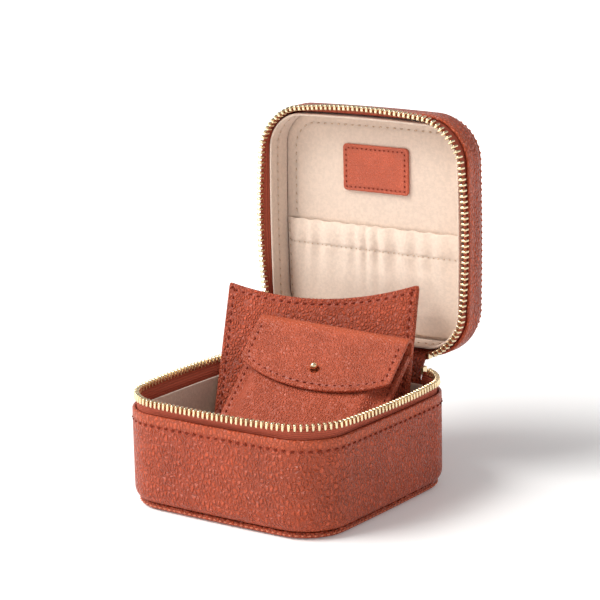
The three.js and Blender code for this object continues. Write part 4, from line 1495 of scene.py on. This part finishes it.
class CASE_OT_base_lining(CaseOperator, Operator):
    """Builds the suede on the base's wall and floor"""

    bl_idname = "jewellery_case.base_lining"
    bl_label = "Base Lining"

    def execute(self, context):
        shell, stitch = context.scene.case_shell, context.scene.case_stitch
        edge = shell.base_lining_edge
        build_lining(shell, stitch, "base", "base_lining", "floor_lining", edge)
        return {"FINISHED"}


class CASE_OT_lid_shell(CaseOperator, Operator):
    """Builds the lid's leather wall and top panel with their stitches"""

    bl_idname = "jewellery_case.lid_shell"
    bl_label = "Lid Shell"

    def execute(self, context):
        shell, stitch = context.scene.case_shell, context.scene.case_stitch
        build_wall(shell, stitch, "lid", "lid_panel", "lid_wall")
        return {"FINISHED"}


class CASE_OT_lid_lining(CaseOperator, Operator):
    """Builds the suede on the lid's wall and panel with its stitches"""

    bl_idname = "jewellery_case.lid_lining"
    bl_label = "Lid Lining"

    def execute(self, context):
        shell, stitch = context.scene.case_shell, context.scene.case_stitch
        edge = shell.lid_lining_edge
        build_lining(shell, stitch, "lid", "lid_lining_wall", "lid_lining_panel", edge)
        return {"FINISHED"}


class CASE_OT_pocket(CaseOperator, Operator):
    """Builds the gathered pocket in the lid"""

    bl_idname = "jewellery_case.pocket"
    bl_label = "Lid Pocket"

    def execute(self, context):
        scene = context.scene
        build_pocket(scene.case_shell, scene.case_stitch, scene.case_pocket)
        return {"FINISHED"}


class CASE_OT_label(CaseOperator, Operator):
    """Builds the stitched label in the lid"""

    bl_idname = "jewellery_case.label"
    bl_label = "Lid Label"

    def execute(self, context):
        build_label(context.scene.case_pocket, context.scene.case_stitch)
        return {"FINISHED"}


class CASE_OT_zip(CaseOperator, Operator):
    """Builds both zip tapes and both rows of teeth"""

    bl_idname = "jewellery_case.zip"
    bl_label = "Zip"

    def execute(self, context):
        shell, zip_ = context.scene.case_shell, context.scene.case_zip
        for body in ("base", "lid"):
            build_tape(shell, zip_, body, body + "_zip_tape")
        for body in ("base", "lid"):
            build_teeth(shell, zip_, body, body + "_zip_teeth")
        return {"FINISHED"}


class CASE_OT_hinge(CaseOperator, Operator):
    """Builds the leather hinge at the back"""

    bl_idname = "jewellery_case.hinge"
    bl_label = "Hinge"

    def execute(self, context):
        build_hinge(context.scene.case_shell, context.scene.case_zip)
        return {"FINISHED"}


class CASE_OT_divider(CaseOperator, Operator):
    """Builds the scooped divider"""

    bl_idname = "jewellery_case.divider"
    bl_label = "Divider"

    def execute(self, context):
        build_divider(context.scene.case_divider, context.scene.case_stitch)
        return {"FINISHED"}


class CASE_OT_pouch(CaseOperator, Operator):
    """Builds the pouch's back, front, flap and stud"""

    bl_idname = "jewellery_case.pouch"
    bl_label = "Pouch"

    def execute(self, context):
        pouch, stitch = context.scene.case_pouch, context.scene.case_stitch
        build_pouch_body(pouch, stitch)
        build_flap(pouch, stitch)
        build_stud(pouch)
        return {"FINISHED"}


class CASE_OT_pull(CaseOperator, Operator):
    """Builds the leather pull and dresses the CAD pieces that stay in sight"""

    bl_idname = "jewellery_case.pull"
    bl_label = "Pull And Metal"

    def execute(self, context):
        build_pull(context.scene.case_stitch)
        dress_carried()
        return {"FINISHED"}


class CASE_OT_stage(CaseOperator, Operator):
    """Builds the floor, the lights and the camera"""

    bl_idname = "jewellery_case.stage"
    bl_label = "Stage"

    def execute(self, context):
        build_stage(context.scene.case_stage)
        return {"FINISHED"}


STEPS = (
    CASE_OT_base_shell,
    CASE_OT_base_lining,
    CASE_OT_lid_shell,
    CASE_OT_lid_lining,
    CASE_OT_pocket,
    CASE_OT_label,
    CASE_OT_zip,
    CASE_OT_hinge,
    CASE_OT_divider,
    CASE_OT_pouch,
    CASE_OT_pull,
    CASE_OT_stage,
)


class CASE_PT_sidebar(Panel):
    """Settings and build buttons of the jewellery case"""

    bl_idname = "CASE_PT_sidebar"
    bl_label = "Jewellery Case"
    bl_space_type = "VIEW_3D"
    bl_region_type = "UI"
    bl_category = "Jewellery Case"

    def draw(self, context):
        layout = self.layout
        for step in STEPS:
            layout.operator(step.bl_idname)
        for key, group in SETTINGS.items():
            box = layout.box()
            box.label(text=key.replace("_", " ").capitalize())
            for name in group.__annotations__:
                box.prop(getattr(context.scene, key), name)


def register():
    """Registers the classes and hangs the settings on the scene."""
    for group in SETTINGS.values():
        bpy.utils.register_class(group)
    for step in STEPS:
        bpy.utils.register_class(step)
    bpy.utils.register_class(CASE_PT_sidebar)
    for key, group in SETTINGS.items():
        setattr(bpy.types.Scene, key, PointerProperty(type=group))


def unregister():
    """Takes the settings and the classes away again."""
    for key in SETTINGS:
        delattr(bpy.types.Scene, key)
    bpy.utils.unregister_class(CASE_PT_sidebar)
    for step in reversed(STEPS):
        bpy.utils.unregister_class(step)
    for group in reversed(list(SETTINGS.values())):
        bpy.utils.unregister_class(group)


def main():
    """Registers the add-on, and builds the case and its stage."""
    register()
    for step in STEPS:
        group, name = step.bl_idname.split(".")
        getattr(getattr(bpy.ops, group), name)()
    sizes = {"frame": BOUNDS_AT_LOAD, "model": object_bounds()}
    sizes = {key: [list(map(float, corner)) for corner in bounds] for key, bounds in sizes.items()}


if __name__ == "__main__":
    main()
